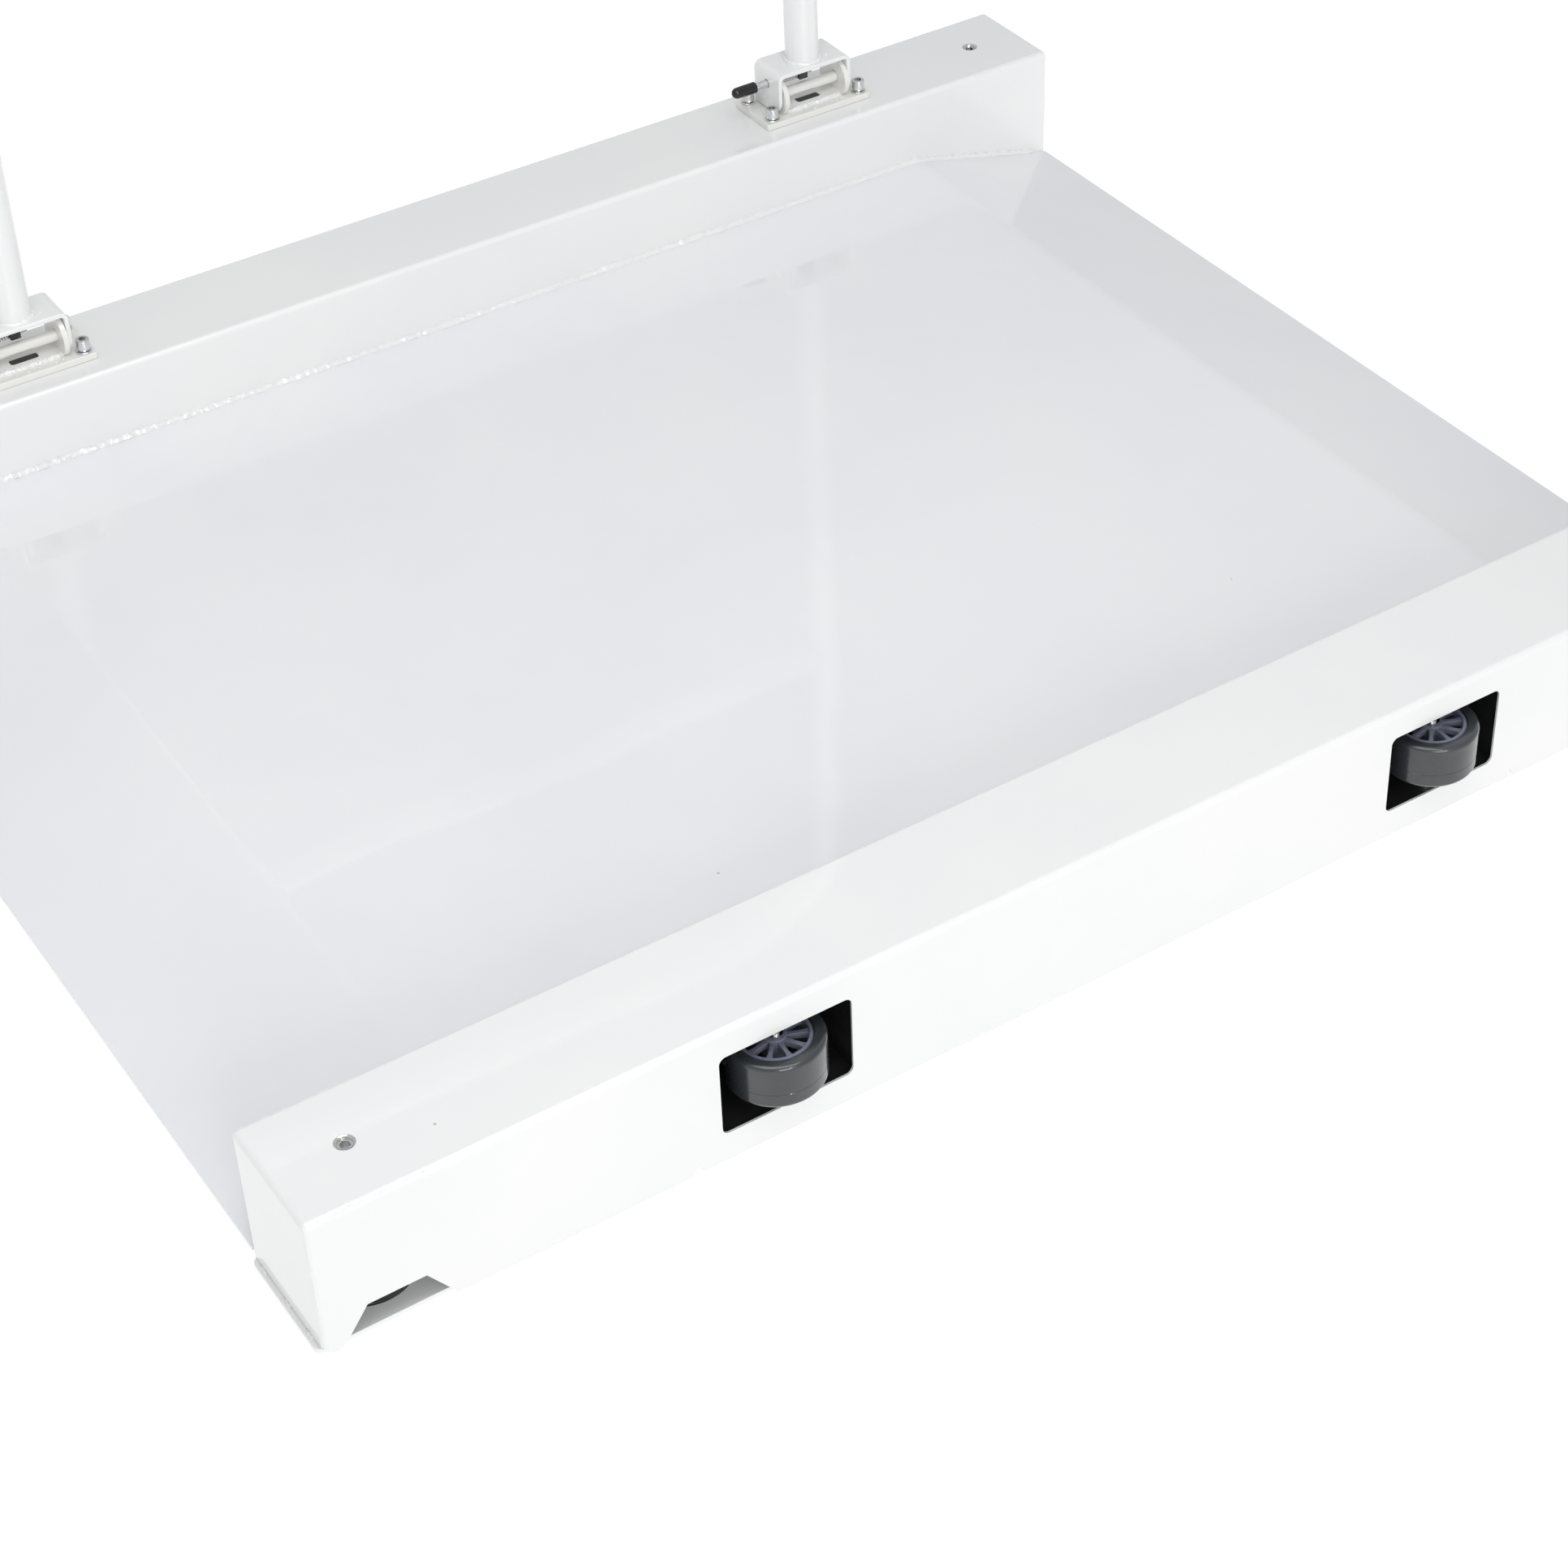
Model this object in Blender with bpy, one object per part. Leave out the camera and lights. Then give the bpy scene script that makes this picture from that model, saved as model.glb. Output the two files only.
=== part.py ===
"""Wheelchair platform scale: a ramped steel deck between two box beams, with a fold-down handrail.

Metres, +Z up, +X along the beams, +Y from the near beam to the handrail's beam.
The origin is on the floor, under the middle of the whole object.
"""

import math

import bmesh
import bpy
from mathutils import Matrix, Vector

MM = 0.001

# Overall
BEAM_LENGTH = 1120 * MM
FRAME_WIDTH = 943 * MM
HANDRAIL_TOP = 1000 * MM
GAP = 0.3 * MM
PAST_FACE = 1 * MM  # how far a cutter runs past the face it cuts

# Side beams: folded sheet, open below
BEAM_WIDTH = 90 * MM
BEAM_HEIGHT = 103 * MM
BEAM_WALL = 3 * MM
BEAM_BEND = 7 * MM
BEAM_CLEARANCE = 5 * MM
LIP_DEPTH = 22 * MM
RELIEF_FROM_END = 243 * MM
RELIEF_WIDTH = 9 * MM
RELIEF_HEIGHT = 6 * MM
ACCESS_HOLE_R = 6 * MM

# Deck: one sheet, flat in the middle, sloping to the floor at both ends
DECK_SHEET = 3 * MM
DECK_ABOVE_BEAM_FOOT = 42 * MM
RAMP_RUN = 134 * MM
RAMP_EDGE_ABOVE_BEAM_FOOT = 8.2 * MM
RIB_COUNT = 3
RIB_SPACING = 250 * MM
RIB_WIDTH = 50 * MM
RIB_HEIGHT = 24 * MM
RIB_WALL = 2.5 * MM

# Levelling feet and load cells in the four beam ends
FOOT_FROM_END = 48 * MM
FOOT_R = 21 * MM
FOOT_HEIGHT = 16 * MM
FOOT_CHAMFER = 2 * MM
STUD_R = 6 * MM
STUD_BELOW_BEAM_TOP = 7 * MM
STUD_HEX = 11 * MM
STUD_HEX_HEIGHT = 7 * MM
STUD_SOCKET_R = 3 * MM
STUD_SOCKET_DEPTH = 8 * MM
FOOT_PLATE_SHEET = 3 * MM
FOOT_PLATE_LENGTH = 118 * MM
FOOT_PLATE_PROUD = 3 * MM
FOOT_PLATE_CORNER = 5 * MM
FOOT_OPENING_R = 25 * MM
CELL_START = 20 * MM
CELL_LENGTH = 140 * MM
CELL_WIDTH = 32 * MM
CELL_THICKNESS = 25 * MM
CELL_ABOVE_BEAM_FOOT = 48 * MM
CELL_SPACER = 40 * MM
CUTOUT_FOOT = 72 * MM
CUTOUT_TOP = 37 * MM
CUTOUT_HEIGHT = 24.5 * MM

# Transport wheels, standing proud of the near beam
WHEEL_FROM_MIDDLE = 253 * MM
WHEEL_R = 31.3 * MM
WHEEL_WIDTH = 28.5 * MM
WHEEL_PROUD = 18 * MM
WHEEL_ABOVE_WINDOW_MIDDLE = 3 * MM
TYRE_DEPTH = 8.3 * MM
TYRE_SHOULDER = 4 * MM
HUB_RING = 2.8 * MM
HUB_BOSS_R = 8.5 * MM
HUB_WEB = 5 * MM
HUB_RECESS = 0.8 * MM
AXLE_R = 4 * MM
AXLE_PLAY = 0.3 * MM
AXLE_COLLAR_R = 6.5 * MM
AXLE_HEAD = 3 * MM
WINDOW_WIDTH = 91.5 * MM
WINDOW_BELOW_BEAM_TOP = 21 * MM
WINDOW_ABOVE_BEAM_FOOT = 21 * MM
WINDOW_CORNER = 5 * MM
HOUSING_MARGIN = 4 * MM
HOUSING_BEHIND_WHEEL = 12 * MM
HOUSING_WALL = 2 * MM

# Handrail hinges on the far beam
HINGE_FROM_MIDDLE = 344 * MM
HINGE_PLATE = (100 * MM, 50 * MM, 5 * MM)
HINGE_PLATE_CORNER = 2 * MM
HINGE_SLOT = (22 * MM, 5 * MM)
SCREW_SPACING = (84 * MM, 37 * MM)
SCREW_R = 3 * MM
SCREW_HEAD_R = 5 * MM
SCREW_HEAD = 7.5 * MM
SCREW_SOCKET_R = 2.9 * MM
SPRING_WASHER = 2 * MM
FLAT_WASHER = 1.8 * MM
FLAT_WASHER_R = 6 * MM
SPRING_WASHER_R = 4.7 * MM
SCREW_LENGTH = 18 * MM
PIN_R = 4.5 * MM
PIN_BACK = -6 * MM
PIN_ABOVE_PLATE = 13.5 * MM
EAR_INNER = 27 * MM
EAR_SHEET = 4 * MM
EAR_PAST_PLATE = 3 * MM
EAR_CORNER = 5 * MM
EAR_BACK = 16 * MM
FORK_SHEET = 3.5 * MM
FORK_PLAY = 0.5 * MM
FORK_HEADROOM = 3.2 * MM
FORK_BACK = 18.5 * MM
FORK_BEND = 6 * MM
FORK_LIFT = 0.5 * MM
PIN_SEAT = 2 * MM
FOLD_ANGLE = math.radians(90)

# Latch plungers
ROD_R = 3.15 * MM
ROD_TIP_R = 2.3 * MM
ROD_ABOVE_PIN = 9.6 * MM
ROD_PLAY = 0.35 * MM
ROD_TRAVEL = 8 * MM
ROD_TIP_PAST_BLOCK = 6 * MM
CAP_R = 4.7 * MM
CAP_LENGTH = 22 * MM
CAP_HOLD = 14 * MM
CAP_FROM_FORK = 11 * MM
SPRING_R = 4 * MM
SPRING_SHUT = 8 * MM
SPRING_PLAY = 0.2 * MM
COLLAR_R = 4.2 * MM
COLLAR = 1.5 * MM
BLOCK_LENGTH = 8 * MM
BLOCK_START = -6 * MM
BLOCK_WIDTH = 12 * MM
BLOCK_ABOVE_PIN = 5.8 * MM
BLOCK_BACK = 1 * MM

# Handrail tubes
TUBE_R = 14 * MM
TUBE_WALL = 2 * MM
RAIL_BEND = 80 * MM
MID_RAIL_R = 12.5 * MM
MID_RAIL_HEIGHT = 560 * MM

# Junction box under the deck
JUNCTION_BOX = (110 * MM, 70 * MM, 20 * MM)
JUNCTION_BOX_CORNER = 3 * MM

# Derived places
HALF_LENGTH = BEAM_LENGTH / 2
NEAR_FACE = -(FRAME_WIDTH + WHEEL_PROUD) / 2 + WHEEL_PROUD
FAR_FACE = NEAR_FACE + FRAME_WIDTH
BEAM_FOOT = BEAM_CLEARANCE
BEAM_TOP = BEAM_FOOT + BEAM_HEIGHT
DECK_TOP = BEAM_FOOT + DECK_ABOVE_BEAM_FOOT
DECK_MIDDLE = (NEAR_FACE + FAR_FACE) / 2
DECK_HALF_WIDTH = FRAME_WIDTH / 2 - BEAM_WIDTH - GAP
WHEEL_Y = NEAR_FACE - WHEEL_PROUD + WHEEL_R
WINDOW_HEIGHT = BEAM_HEIGHT - WINDOW_ABOVE_BEAM_FOOT - WINDOW_BELOW_BEAM_TOP
WHEEL_Z = BEAM_FOOT + WINDOW_ABOVE_BEAM_FOOT + WINDOW_HEIGHT / 2 + WHEEL_ABOVE_WINDOW_MIDDLE
HOUSING_DEPTH = 2 * WHEEL_R - WHEEL_PROUD - BEAM_WALL - GAP + HOUSING_BEHIND_WHEEL + HOUSING_WALL
HINGE_Y = FAR_FACE - BEAM_WIDTH / 2
PLATE_TOP = BEAM_TOP + GAP + HINGE_PLATE[2]
PIN_Y = HINGE_Y + PIN_BACK
PIN_Z = PLATE_TOP + PIN_ABOVE_PLATE
EAR_R = PIN_ABOVE_PLATE + EAR_PAST_PLATE
EAR_OUTER = EAR_INNER + EAR_SHEET
FORK_INNER = EAR_OUTER + FORK_PLAY
FORK_OUTER = FORK_INNER + FORK_SHEET
FORK_TOP = PIN_Z + EAR_R + FORK_HEADROOM + FORK_SHEET
FORK_NOSE_R = PIN_ABOVE_PLATE - FORK_LIFT
ROD_Y = HINGE_Y
ROD_Z = PIN_Z + ROD_ABOVE_PIN
ROD_ORBIT = math.hypot(ROD_Y - PIN_Y, ROD_ABOVE_PIN)
ROD_ANGLE = math.atan2(ROD_ABOVE_PIN, ROD_Y - PIN_Y)


def clear_scene():
    for obj in list(bpy.data.objects):
        bpy.data.objects.remove(obj, do_unlink=True)


def material(name, colour, roughness, metallic=0.0):
    made = bpy.data.materials.new(name)
    made.use_nodes = True
    shader = made.node_tree.nodes["Principled BSDF"]
    shader.inputs["Base Color"].default_value = (*colour, 1.0)
    shader.inputs["Roughness"].default_value = roughness
    shader.inputs["Metallic"].default_value = metallic
    return made


def pivot(name, spot):
    """An empty on a moving body's axis."""
    empty = bpy.data.objects.new(name, None)
    bpy.context.collection.objects.link(empty)
    empty.location = spot
    return empty


def place(name, bm, look, parent=None):
    """An object from a bmesh in world coordinates, moved into its parent's own frame."""
    bmesh.ops.remove_doubles(bm, verts=bm.verts, dist=1e-7)
    bmesh.ops.recalc_face_normals(bm, faces=bm.faces)
    mesh = bpy.data.meshes.new(name)
    bm.to_mesh(mesh)
    bm.free()
    obj = bpy.data.objects.new(name, mesh)
    bpy.context.collection.objects.link(obj)
    if look:
        mesh.materials.append(look)
    mesh.shade_smooth()
    mesh.set_sharp_from_angle(angle=math.radians(35))
    if parent:
        obj.parent = parent
        mesh.transform(Matrix.Translation(-parent.location))
    return obj


def tool(target, bm, operation="DIFFERENCE"):
    """Adds a Boolean with a hidden helper made from a bmesh in world coordinates."""
    helper = place(f"{target.name}_{operation.lower()}_{len(target.modifiers)}", bm, None, target.parent)
    helper.hide_render = True
    helper.display_type = "WIRE"
    modifier = target.modifiers.new(helper.name, "BOOLEAN")
    modifier.operation = operation
    modifier.solver = "EXACT"
    modifier.object = helper
    return target


def box(low, high, bend=0.0, bend_test=None, segments=3):
    """A box between two corners; edges that bend_test picks get a rounded bend."""
    bm = bmesh.new()
    bmesh.ops.create_cube(bm, size=1.0)
    low, high = Vector(map(min, low, high)), Vector(map(max, low, high))
    for vert in bm.verts:
        vert.co = low + Vector(((vert.co[i] + 0.5) * (high[i] - low[i]) for i in range(3)))
    if bend:
        edges = [edge for edge in bm.edges if bend_test(edge)]
        bmesh.ops.bevel(bm, geom=edges, offset=bend, segments=segments, profile=0.5,
                        affect="EDGES", material=-1)
    return bm


def upright(edge):
    """Picks a box's upright edges."""
    return abs(edge.verts[0].co.z - edge.verts[1].co.z) > MM


def off_bottom(bm_low):
    """Picks every edge of a box but the four round its bottom face."""
    return lambda edge: any(vert.co.z > bm_low + 1e-6 for vert in edge.verts)


def arc(centre, radius, start, end, steps):
    """Points on a circle in a plane, from one angle to another, in radians."""
    return [
        (centre[0] + radius * math.cos(start + (end - start) * i / steps),
         centre[1] + radius * math.sin(start + (end - start) * i / steps))
        for i in range(steps + 1)
    ]


def prism(outline, axis, low, high):
    """An outline drawn across an axis, as (y, z), (x, z) or (x, y), extruded along it."""
    bm = bmesh.new()
    index = "XYZ".index(axis)
    verts = []
    for a, b in outline:
        point = [a, b]
        point.insert(index, low)
        verts.append(bm.verts.new(point))
    face = bm.faces.new(verts)
    moved = bmesh.ops.extrude_face_region(bm, geom=[face])["geom"]
    step = Vector((0, 0, 0))
    step[index] = high - low
    bmesh.ops.translate(bm, vec=step, verts=[item for item in moved if isinstance(item, bmesh.types.BMVert)])
    return bm


def rounded(low, high, radius, steps=4):
    """The outline of a rectangle with round corners."""
    (x0, y0), (x1, y1) = low, high
    quarter = math.pi / 2
    points = []
    for turn, corner in enumerate(((x1 - radius, y1 - radius), (x0 + radius, y1 - radius),
                                   (x0 + radius, y0 + radius), (x1 - radius, y0 + radius))):
        points += arc(corner, radius, turn * quarter, (turn + 1) * quarter, steps)
    return points


def turned(profile, centre, axis="Z", steps=24):
    """A closed profile of (radius, height along the axis) turned round an axis through a centre."""
    bm = bmesh.new()
    verts = [bm.verts.new((radius, 0, height)) for radius, height in profile]
    edges = [bm.edges.new(pair) for pair in zip(verts, verts[1:] + verts[:1])]
    bmesh.ops.spin(bm, geom=verts + edges, cent=(0, 0, 0), axis=(0, 0, 1), angle=2 * math.pi,
                   steps=steps, use_merge=True)
    bmesh.ops.remove_doubles(bm, verts=bm.verts, dist=1e-7)
    bmesh.ops.dissolve_degenerate(bm, edges=bm.edges, dist=1e-7)
    if axis == "X":
        bmesh.ops.rotate(bm, verts=bm.verts, matrix=Matrix.Rotation(math.pi / 2, 3, "Y"))
    bmesh.ops.translate(bm, verts=bm.verts, vec=centre)
    return bm


def solid_profile(stages):
    """The profile of a turned solid, closed on its axis, from (radius, start, end) stages."""
    points = [(0.0, stages[0][1])]
    for radius, start, end in stages:
        points += [(radius, start), (radius, end)]
    return points + [(0.0, stages[-1][2])]


def cylinder(radius, low, high, centre, axis="Z", steps=16):
    """A closed cylinder from low to high along an axis through a centre."""
    return turned(solid_profile([(radius, low, high)]), centre, axis, steps)


def hexagon(radius, low, high, centre):
    return prism([(centre[0] + x, centre[1] + y) for x, y in arc((0, 0), radius, 0, 5 * math.pi / 3, 5)],
                 "Z", centre[2] + low, centre[2] + high)


def side_beam(name, outer, inward, look, windows, screw_places):
    """A folded beam, open below, with its access holes, foot cut-outs and bend reliefs."""
    inner = outer + inward * BEAM_WIDTH
    beam = place(name, box((-HALF_LENGTH, outer, BEAM_FOOT), (HALF_LENGTH, inner, BEAM_TOP),
                           BEAM_BEND, off_bottom(BEAM_FOOT)), look)
    hollow_foot = BEAM_FOOT - BEAM_CLEARANCE
    tool(beam, box((-HALF_LENGTH + BEAM_WALL, outer + inward * BEAM_WALL, hollow_foot),
                   (HALF_LENGTH - BEAM_WALL, inner - inward * BEAM_WALL, BEAM_TOP - BEAM_WALL),
                   BEAM_BEND - BEAM_WALL, off_bottom(hollow_foot)))
    lip_end = HALF_LENGTH - RELIEF_FROM_END - RELIEF_WIDTH / 2
    tool(beam, box((-lip_end, outer + inward * BEAM_WALL / 2, BEAM_FOOT),
                   (lip_end, outer + inward * LIP_DEPTH, BEAM_FOOT + BEAM_WALL)), "UNION")
    wall = sorted((outer - inward * BEAM_WALL, outer + inward * (BEAM_WALL + GAP)))
    middle = outer + inward * BEAM_WIDTH / 2
    for side in (-1, 1):
        foot_x = side * (HALF_LENGTH - FOOT_FROM_END)
        relief_x = side * (HALF_LENGTH - RELIEF_FROM_END)
        under = BEAM_FOOT - GAP
        tool(beam, prism([(foot_x - CUTOUT_FOOT / 2, under), (foot_x + CUTOUT_FOOT / 2, under),
                          (foot_x + CUTOUT_TOP / 2, BEAM_FOOT + CUTOUT_HEIGHT),
                          (foot_x - CUTOUT_TOP / 2, BEAM_FOOT + CUTOUT_HEIGHT)], "Y", *wall))
        tool(beam, prism([(relief_x - RELIEF_WIDTH / 2, under), (relief_x + RELIEF_WIDTH / 2, under),
                          (relief_x, BEAM_FOOT + RELIEF_HEIGHT)], "Y", *wall))
        tool(beam, cylinder(ACCESS_HOLE_R, BEAM_TOP - 2 * BEAM_WALL, BEAM_TOP + BEAM_WALL, (foot_x, middle, 0)))
        # The foot plate passes under the end wall.
        tool(beam, box((side * (HALF_LENGTH - BEAM_BEND - GAP), outer + inward * (BEAM_WALL + GAP / 2), under),
                       (side * (HALF_LENGTH + BEAM_WALL), inner - inward * (BEAM_WALL + GAP / 2),
                        BEAM_FOOT + FOOT_PLATE_SHEET + GAP)))
        if windows:
            window_x = side * WHEEL_FROM_MIDDLE
            window_low = BEAM_FOOT + WINDOW_ABOVE_BEAM_FOOT
            tool(beam, prism(rounded((window_x - WINDOW_WIDTH / 2, window_low),
                                     (window_x + WINDOW_WIDTH / 2, window_low + WINDOW_HEIGHT),
                                     WINDOW_CORNER, 3), "Y", *wall))
    for x, y in screw_places:
        tool(beam, cylinder(SCREW_R + GAP, BEAM_TOP - 2 * BEAM_WALL, BEAM_TOP + BEAM_WALL, (x, y, 0), steps=10))
    return beam


def deck(look):
    """The walked-on sheet, as one folded outline along the beams."""
    crease = HALF_LENGTH - RAMP_RUN
    edge = BEAM_FOOT + RAMP_EDGE_ABOVE_BEAM_FOOT
    slope = math.atan2(DECK_TOP - edge, RAMP_RUN)
    drop = DECK_SHEET / math.cos(slope)
    under = crease - DECK_SHEET * math.tan(slope / 2)
    top = [(-HALF_LENGTH, edge), (-crease, DECK_TOP), (crease, DECK_TOP), (HALF_LENGTH, edge)]
    bottom = [(HALF_LENGTH, edge - drop), (under, DECK_TOP - DECK_SHEET),
              (-under, DECK_TOP - DECK_SHEET), (-HALF_LENGTH, edge - drop)]
    return place("deck_sheet", prism(bottom + top, "Y", DECK_MIDDLE - DECK_HALF_WIDTH,
                                     DECK_MIDDLE + DECK_HALF_WIDTH), look)


def ribs(look):
    """Channels across the underside of the deck, open side up."""
    top = DECK_TOP - DECK_SHEET - GAP
    low = top - RIB_HEIGHT
    for index in range(RIB_COUNT):
        x = (index - (RIB_COUNT - 1) / 2) * RIB_SPACING
        half = RIB_WIDTH / 2
        outline = [(x - half, low), (x + half, low), (x + half, top), (x + half - RIB_WALL, top),
                   (x + half - RIB_WALL, low + RIB_WALL), (x - half + RIB_WALL, low + RIB_WALL),
                   (x - half + RIB_WALL, top), (x - half, top)]
        place(f"deck_rib_{index + 1}", prism(outline, "Y", DECK_MIDDLE - DECK_HALF_WIDTH,
                                             DECK_MIDDLE + DECK_HALF_WIDTH), look)


def junction_box(look):
    """The load cells' summing box, between two ribs under the deck."""
    length, width, height = JUNCTION_BOX
    top = DECK_TOP - DECK_SHEET - GAP
    x = RIB_SPACING / 2
    place("junction_box", box((x - length / 2, DECK_MIDDLE - width / 2, top - height),
                              (x + length / 2, DECK_MIDDLE + width / 2, top),
                              JUNCTION_BOX_CORNER, upright), look)


def beam_end(label, x_side, beam_outer, inward, looks):
    """What one beam end holds: the foot plate, the load cell and the levelling foot."""
    steel, cell, rubber, zinc = looks
    foot_x = x_side * (HALF_LENGTH - FOOT_FROM_END)
    middle = beam_outer + inward * BEAM_WIDTH / 2
    half_plate = BEAM_WIDTH / 2 - BEAM_WALL - GAP
    ends = sorted((x_side * (HALF_LENGTH + FOOT_PLATE_PROUD),
                   x_side * (HALF_LENGTH + FOOT_PLATE_PROUD - FOOT_PLATE_LENGTH)))
    plate = place(f"foot_plate_{label}",
                  prism(rounded((ends[0], middle - half_plate), (ends[1], middle + half_plate),
                                FOOT_PLATE_CORNER, 3),
                        "Z", BEAM_FOOT, BEAM_FOOT + FOOT_PLATE_SHEET), steel)
    tool(plate, cylinder(FOOT_OPENING_R, 0, 2 * BEAM_FOOT, (foot_x, middle, 0), steps=28))

    cell_low = BEAM_FOOT + CELL_ABOVE_BEAM_FOOT
    cell_high = cell_low + CELL_THICKNESS
    spacer_top = BEAM_TOP - BEAM_WALL - GAP
    start = x_side * (HALF_LENGTH - CELL_START)
    end = start - x_side * CELL_LENGTH
    step_x = end + x_side * CELL_SPACER
    body = place(f"load_cell_{label}",
                 prism([(start, cell_low), (end, cell_low), (end, spacer_top), (step_x, spacer_top),
                        (step_x, cell_high), (start, cell_high)], "Y",
                       middle - CELL_WIDTH / 2, middle + CELL_WIDTH / 2), cell)
    tool(body, cylinder(STUD_R + GAP, cell_low - PAST_FACE, cell_high + PAST_FACE, (foot_x, middle, 0)))

    foot = pivot(f"foot_axis_{label}", (foot_x, middle, 0))
    pad = [(0, 0), (FOOT_R, 0), (FOOT_R, FOOT_HEIGHT - FOOT_CHAMFER), (FOOT_R - FOOT_CHAMFER, FOOT_HEIGHT),
           (0, FOOT_HEIGHT)]
    place(f"foot_pad_{label}", turned(pad, (foot_x, middle, 0), steps=24), rubber, foot)
    hex_low = FOOT_HEIGHT + GAP
    hex_high = hex_low + STUD_HEX_HEIGHT
    stud_top = BEAM_TOP - STUD_BELOW_BEAM_TOP
    stud = place(f"foot_stud_{label}",
                 turned(solid_profile([(STUD_HEX, hex_low, hex_high), (STUD_R, hex_high, stud_top)]),
                        (foot_x, middle, 0), steps=16), zinc, foot)
    tool(stud, hexagon(STUD_SOCKET_R, stud_top - STUD_SOCKET_DEPTH, stud_top + PAST_FACE, (foot_x, middle, 0)))


def transport_wheel(label, side, looks):
    """A wheel on an upright axle in its housing behind the near beam's window."""
    black, zinc, hub_grey, tyre_grey = looks
    x = side * WHEEL_FROM_MIDDLE
    half_width = WINDOW_WIDTH / 2 + HOUSING_MARGIN
    front = NEAR_FACE + BEAM_WALL + GAP
    low = BEAM_FOOT + WINDOW_ABOVE_BEAM_FOOT - HOUSING_MARGIN
    high = low + WINDOW_HEIGHT + 2 * HOUSING_MARGIN
    housing = place(f"wheel_housing_{label}", box((x - half_width, front, low),
                                                  (x + half_width, front + HOUSING_DEPTH, high)), black)
    tool(housing, box((x - half_width + HOUSING_WALL, front - PAST_FACE, low + HOUSING_WALL),
                      (x + half_width - HOUSING_WALL, front + HOUSING_DEPTH - HOUSING_WALL, high - HOUSING_WALL)))
    tool(housing, cylinder(AXLE_R + GAP, low - PAST_FACE, high + PAST_FACE, (x, WHEEL_Y, 0)))

    hub_half = WHEEL_WIDTH / 2 - HUB_RECESS
    collars = [(AXLE_COLLAR_R, low - AXLE_HEAD - GAP, low - GAP), (AXLE_R, low - GAP, low + HOUSING_WALL + GAP),
               (AXLE_COLLAR_R, low + HOUSING_WALL + GAP, WHEEL_Z - hub_half - GAP),
               (AXLE_R, WHEEL_Z - hub_half - GAP, WHEEL_Z + hub_half + GAP),
               (AXLE_COLLAR_R, WHEEL_Z + hub_half + GAP, high - HOUSING_WALL - GAP),
               (AXLE_R, high - HOUSING_WALL - GAP, high + GAP), (AXLE_COLLAR_R, high + GAP, high + GAP + AXLE_HEAD)]
    place(f"wheel_axle_{label}", turned(solid_profile(collars), (x, WHEEL_Y, 0), steps=16), zinc)

    spin = pivot(f"wheel_axis_{label}", (x, WHEEL_Y, WHEEL_Z))
    rim_r = WHEEL_R - TYRE_DEPTH
    web = HUB_WEB / 2
    bore = AXLE_R + AXLE_PLAY
    hub = [(bore, -hub_half), (HUB_BOSS_R, -hub_half), (HUB_BOSS_R, -web), (rim_r - HUB_RING, -web),
           (rim_r - HUB_RING, -hub_half), (rim_r, -hub_half), (rim_r, hub_half), (rim_r - HUB_RING, hub_half),
           (rim_r - HUB_RING, web), (HUB_BOSS_R, web), (HUB_BOSS_R, hub_half), (bore, hub_half)]
    place(f"wheel_hub_{label}", turned(hub, (x, WHEEL_Y, WHEEL_Z), steps=28), hub_grey, spin)
    half = WHEEL_WIDTH / 2
    shoulder = TYRE_SHOULDER
    round_low = arc((WHEEL_R - shoulder, -half + shoulder), shoulder, -math.pi / 2, 0, 3)
    round_high = arc((WHEEL_R - shoulder, half - shoulder), shoulder, 0, math.pi / 2, 3)
    tyre = [(rim_r + GAP, -half)] + round_low + round_high + [(rim_r + GAP, half)]
    place(f"wheel_tyre_{label}", turned(tyre, (x, WHEEL_Y, WHEEL_Z), steps=36), tyre_grey, spin)


def screw_places(x):
    half_x, half_y = SCREW_SPACING[0] / 2, SCREW_SPACING[1] / 2
    return [(x + sx * half_x, HINGE_Y + sy * half_y) for sx in (-1, 1) for sy in (-1, 1)]


def ear_outline():
    """A fixed ear from the side: round in front about the pin, square behind."""
    foot = PLATE_TOP - HINGE_PLATE[2] / 2
    low_angle = math.asin((foot - PIN_Z) / EAR_R)
    nose = arc((PIN_Y, PIN_Z), EAR_R, math.pi / 2, math.pi - low_angle, 10)
    back = HINGE_Y + EAR_BACK
    return nose + [(back, foot), (back, PIN_Z + EAR_R - EAR_CORNER), (back - EAR_CORNER, PIN_Z + EAR_R)]


def latch_slot():
    """The curved slot that the latch rod sweeps in an ear as the rail folds."""
    half = ROD_R + ROD_PLAY
    start, end = ROD_ANGLE, ROD_ANGLE + FOLD_ANGLE
    pin = (PIN_Y, PIN_Z)
    first = (PIN_Y + ROD_ORBIT * math.cos(start), PIN_Z + ROD_ORBIT * math.sin(start))
    last = (PIN_Y + ROD_ORBIT * math.cos(end), PIN_Z + ROD_ORBIT * math.sin(end))
    outline = arc(pin, ROD_ORBIT + half, start, end, 8)
    outline += arc(last, half, end, end + math.pi, 6)[1:-1]
    outline += arc(pin, ROD_ORBIT - half, end, start, 8)
    outline += arc(first, half, start - math.pi, start, 6)[1:-1]
    return outline


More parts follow.
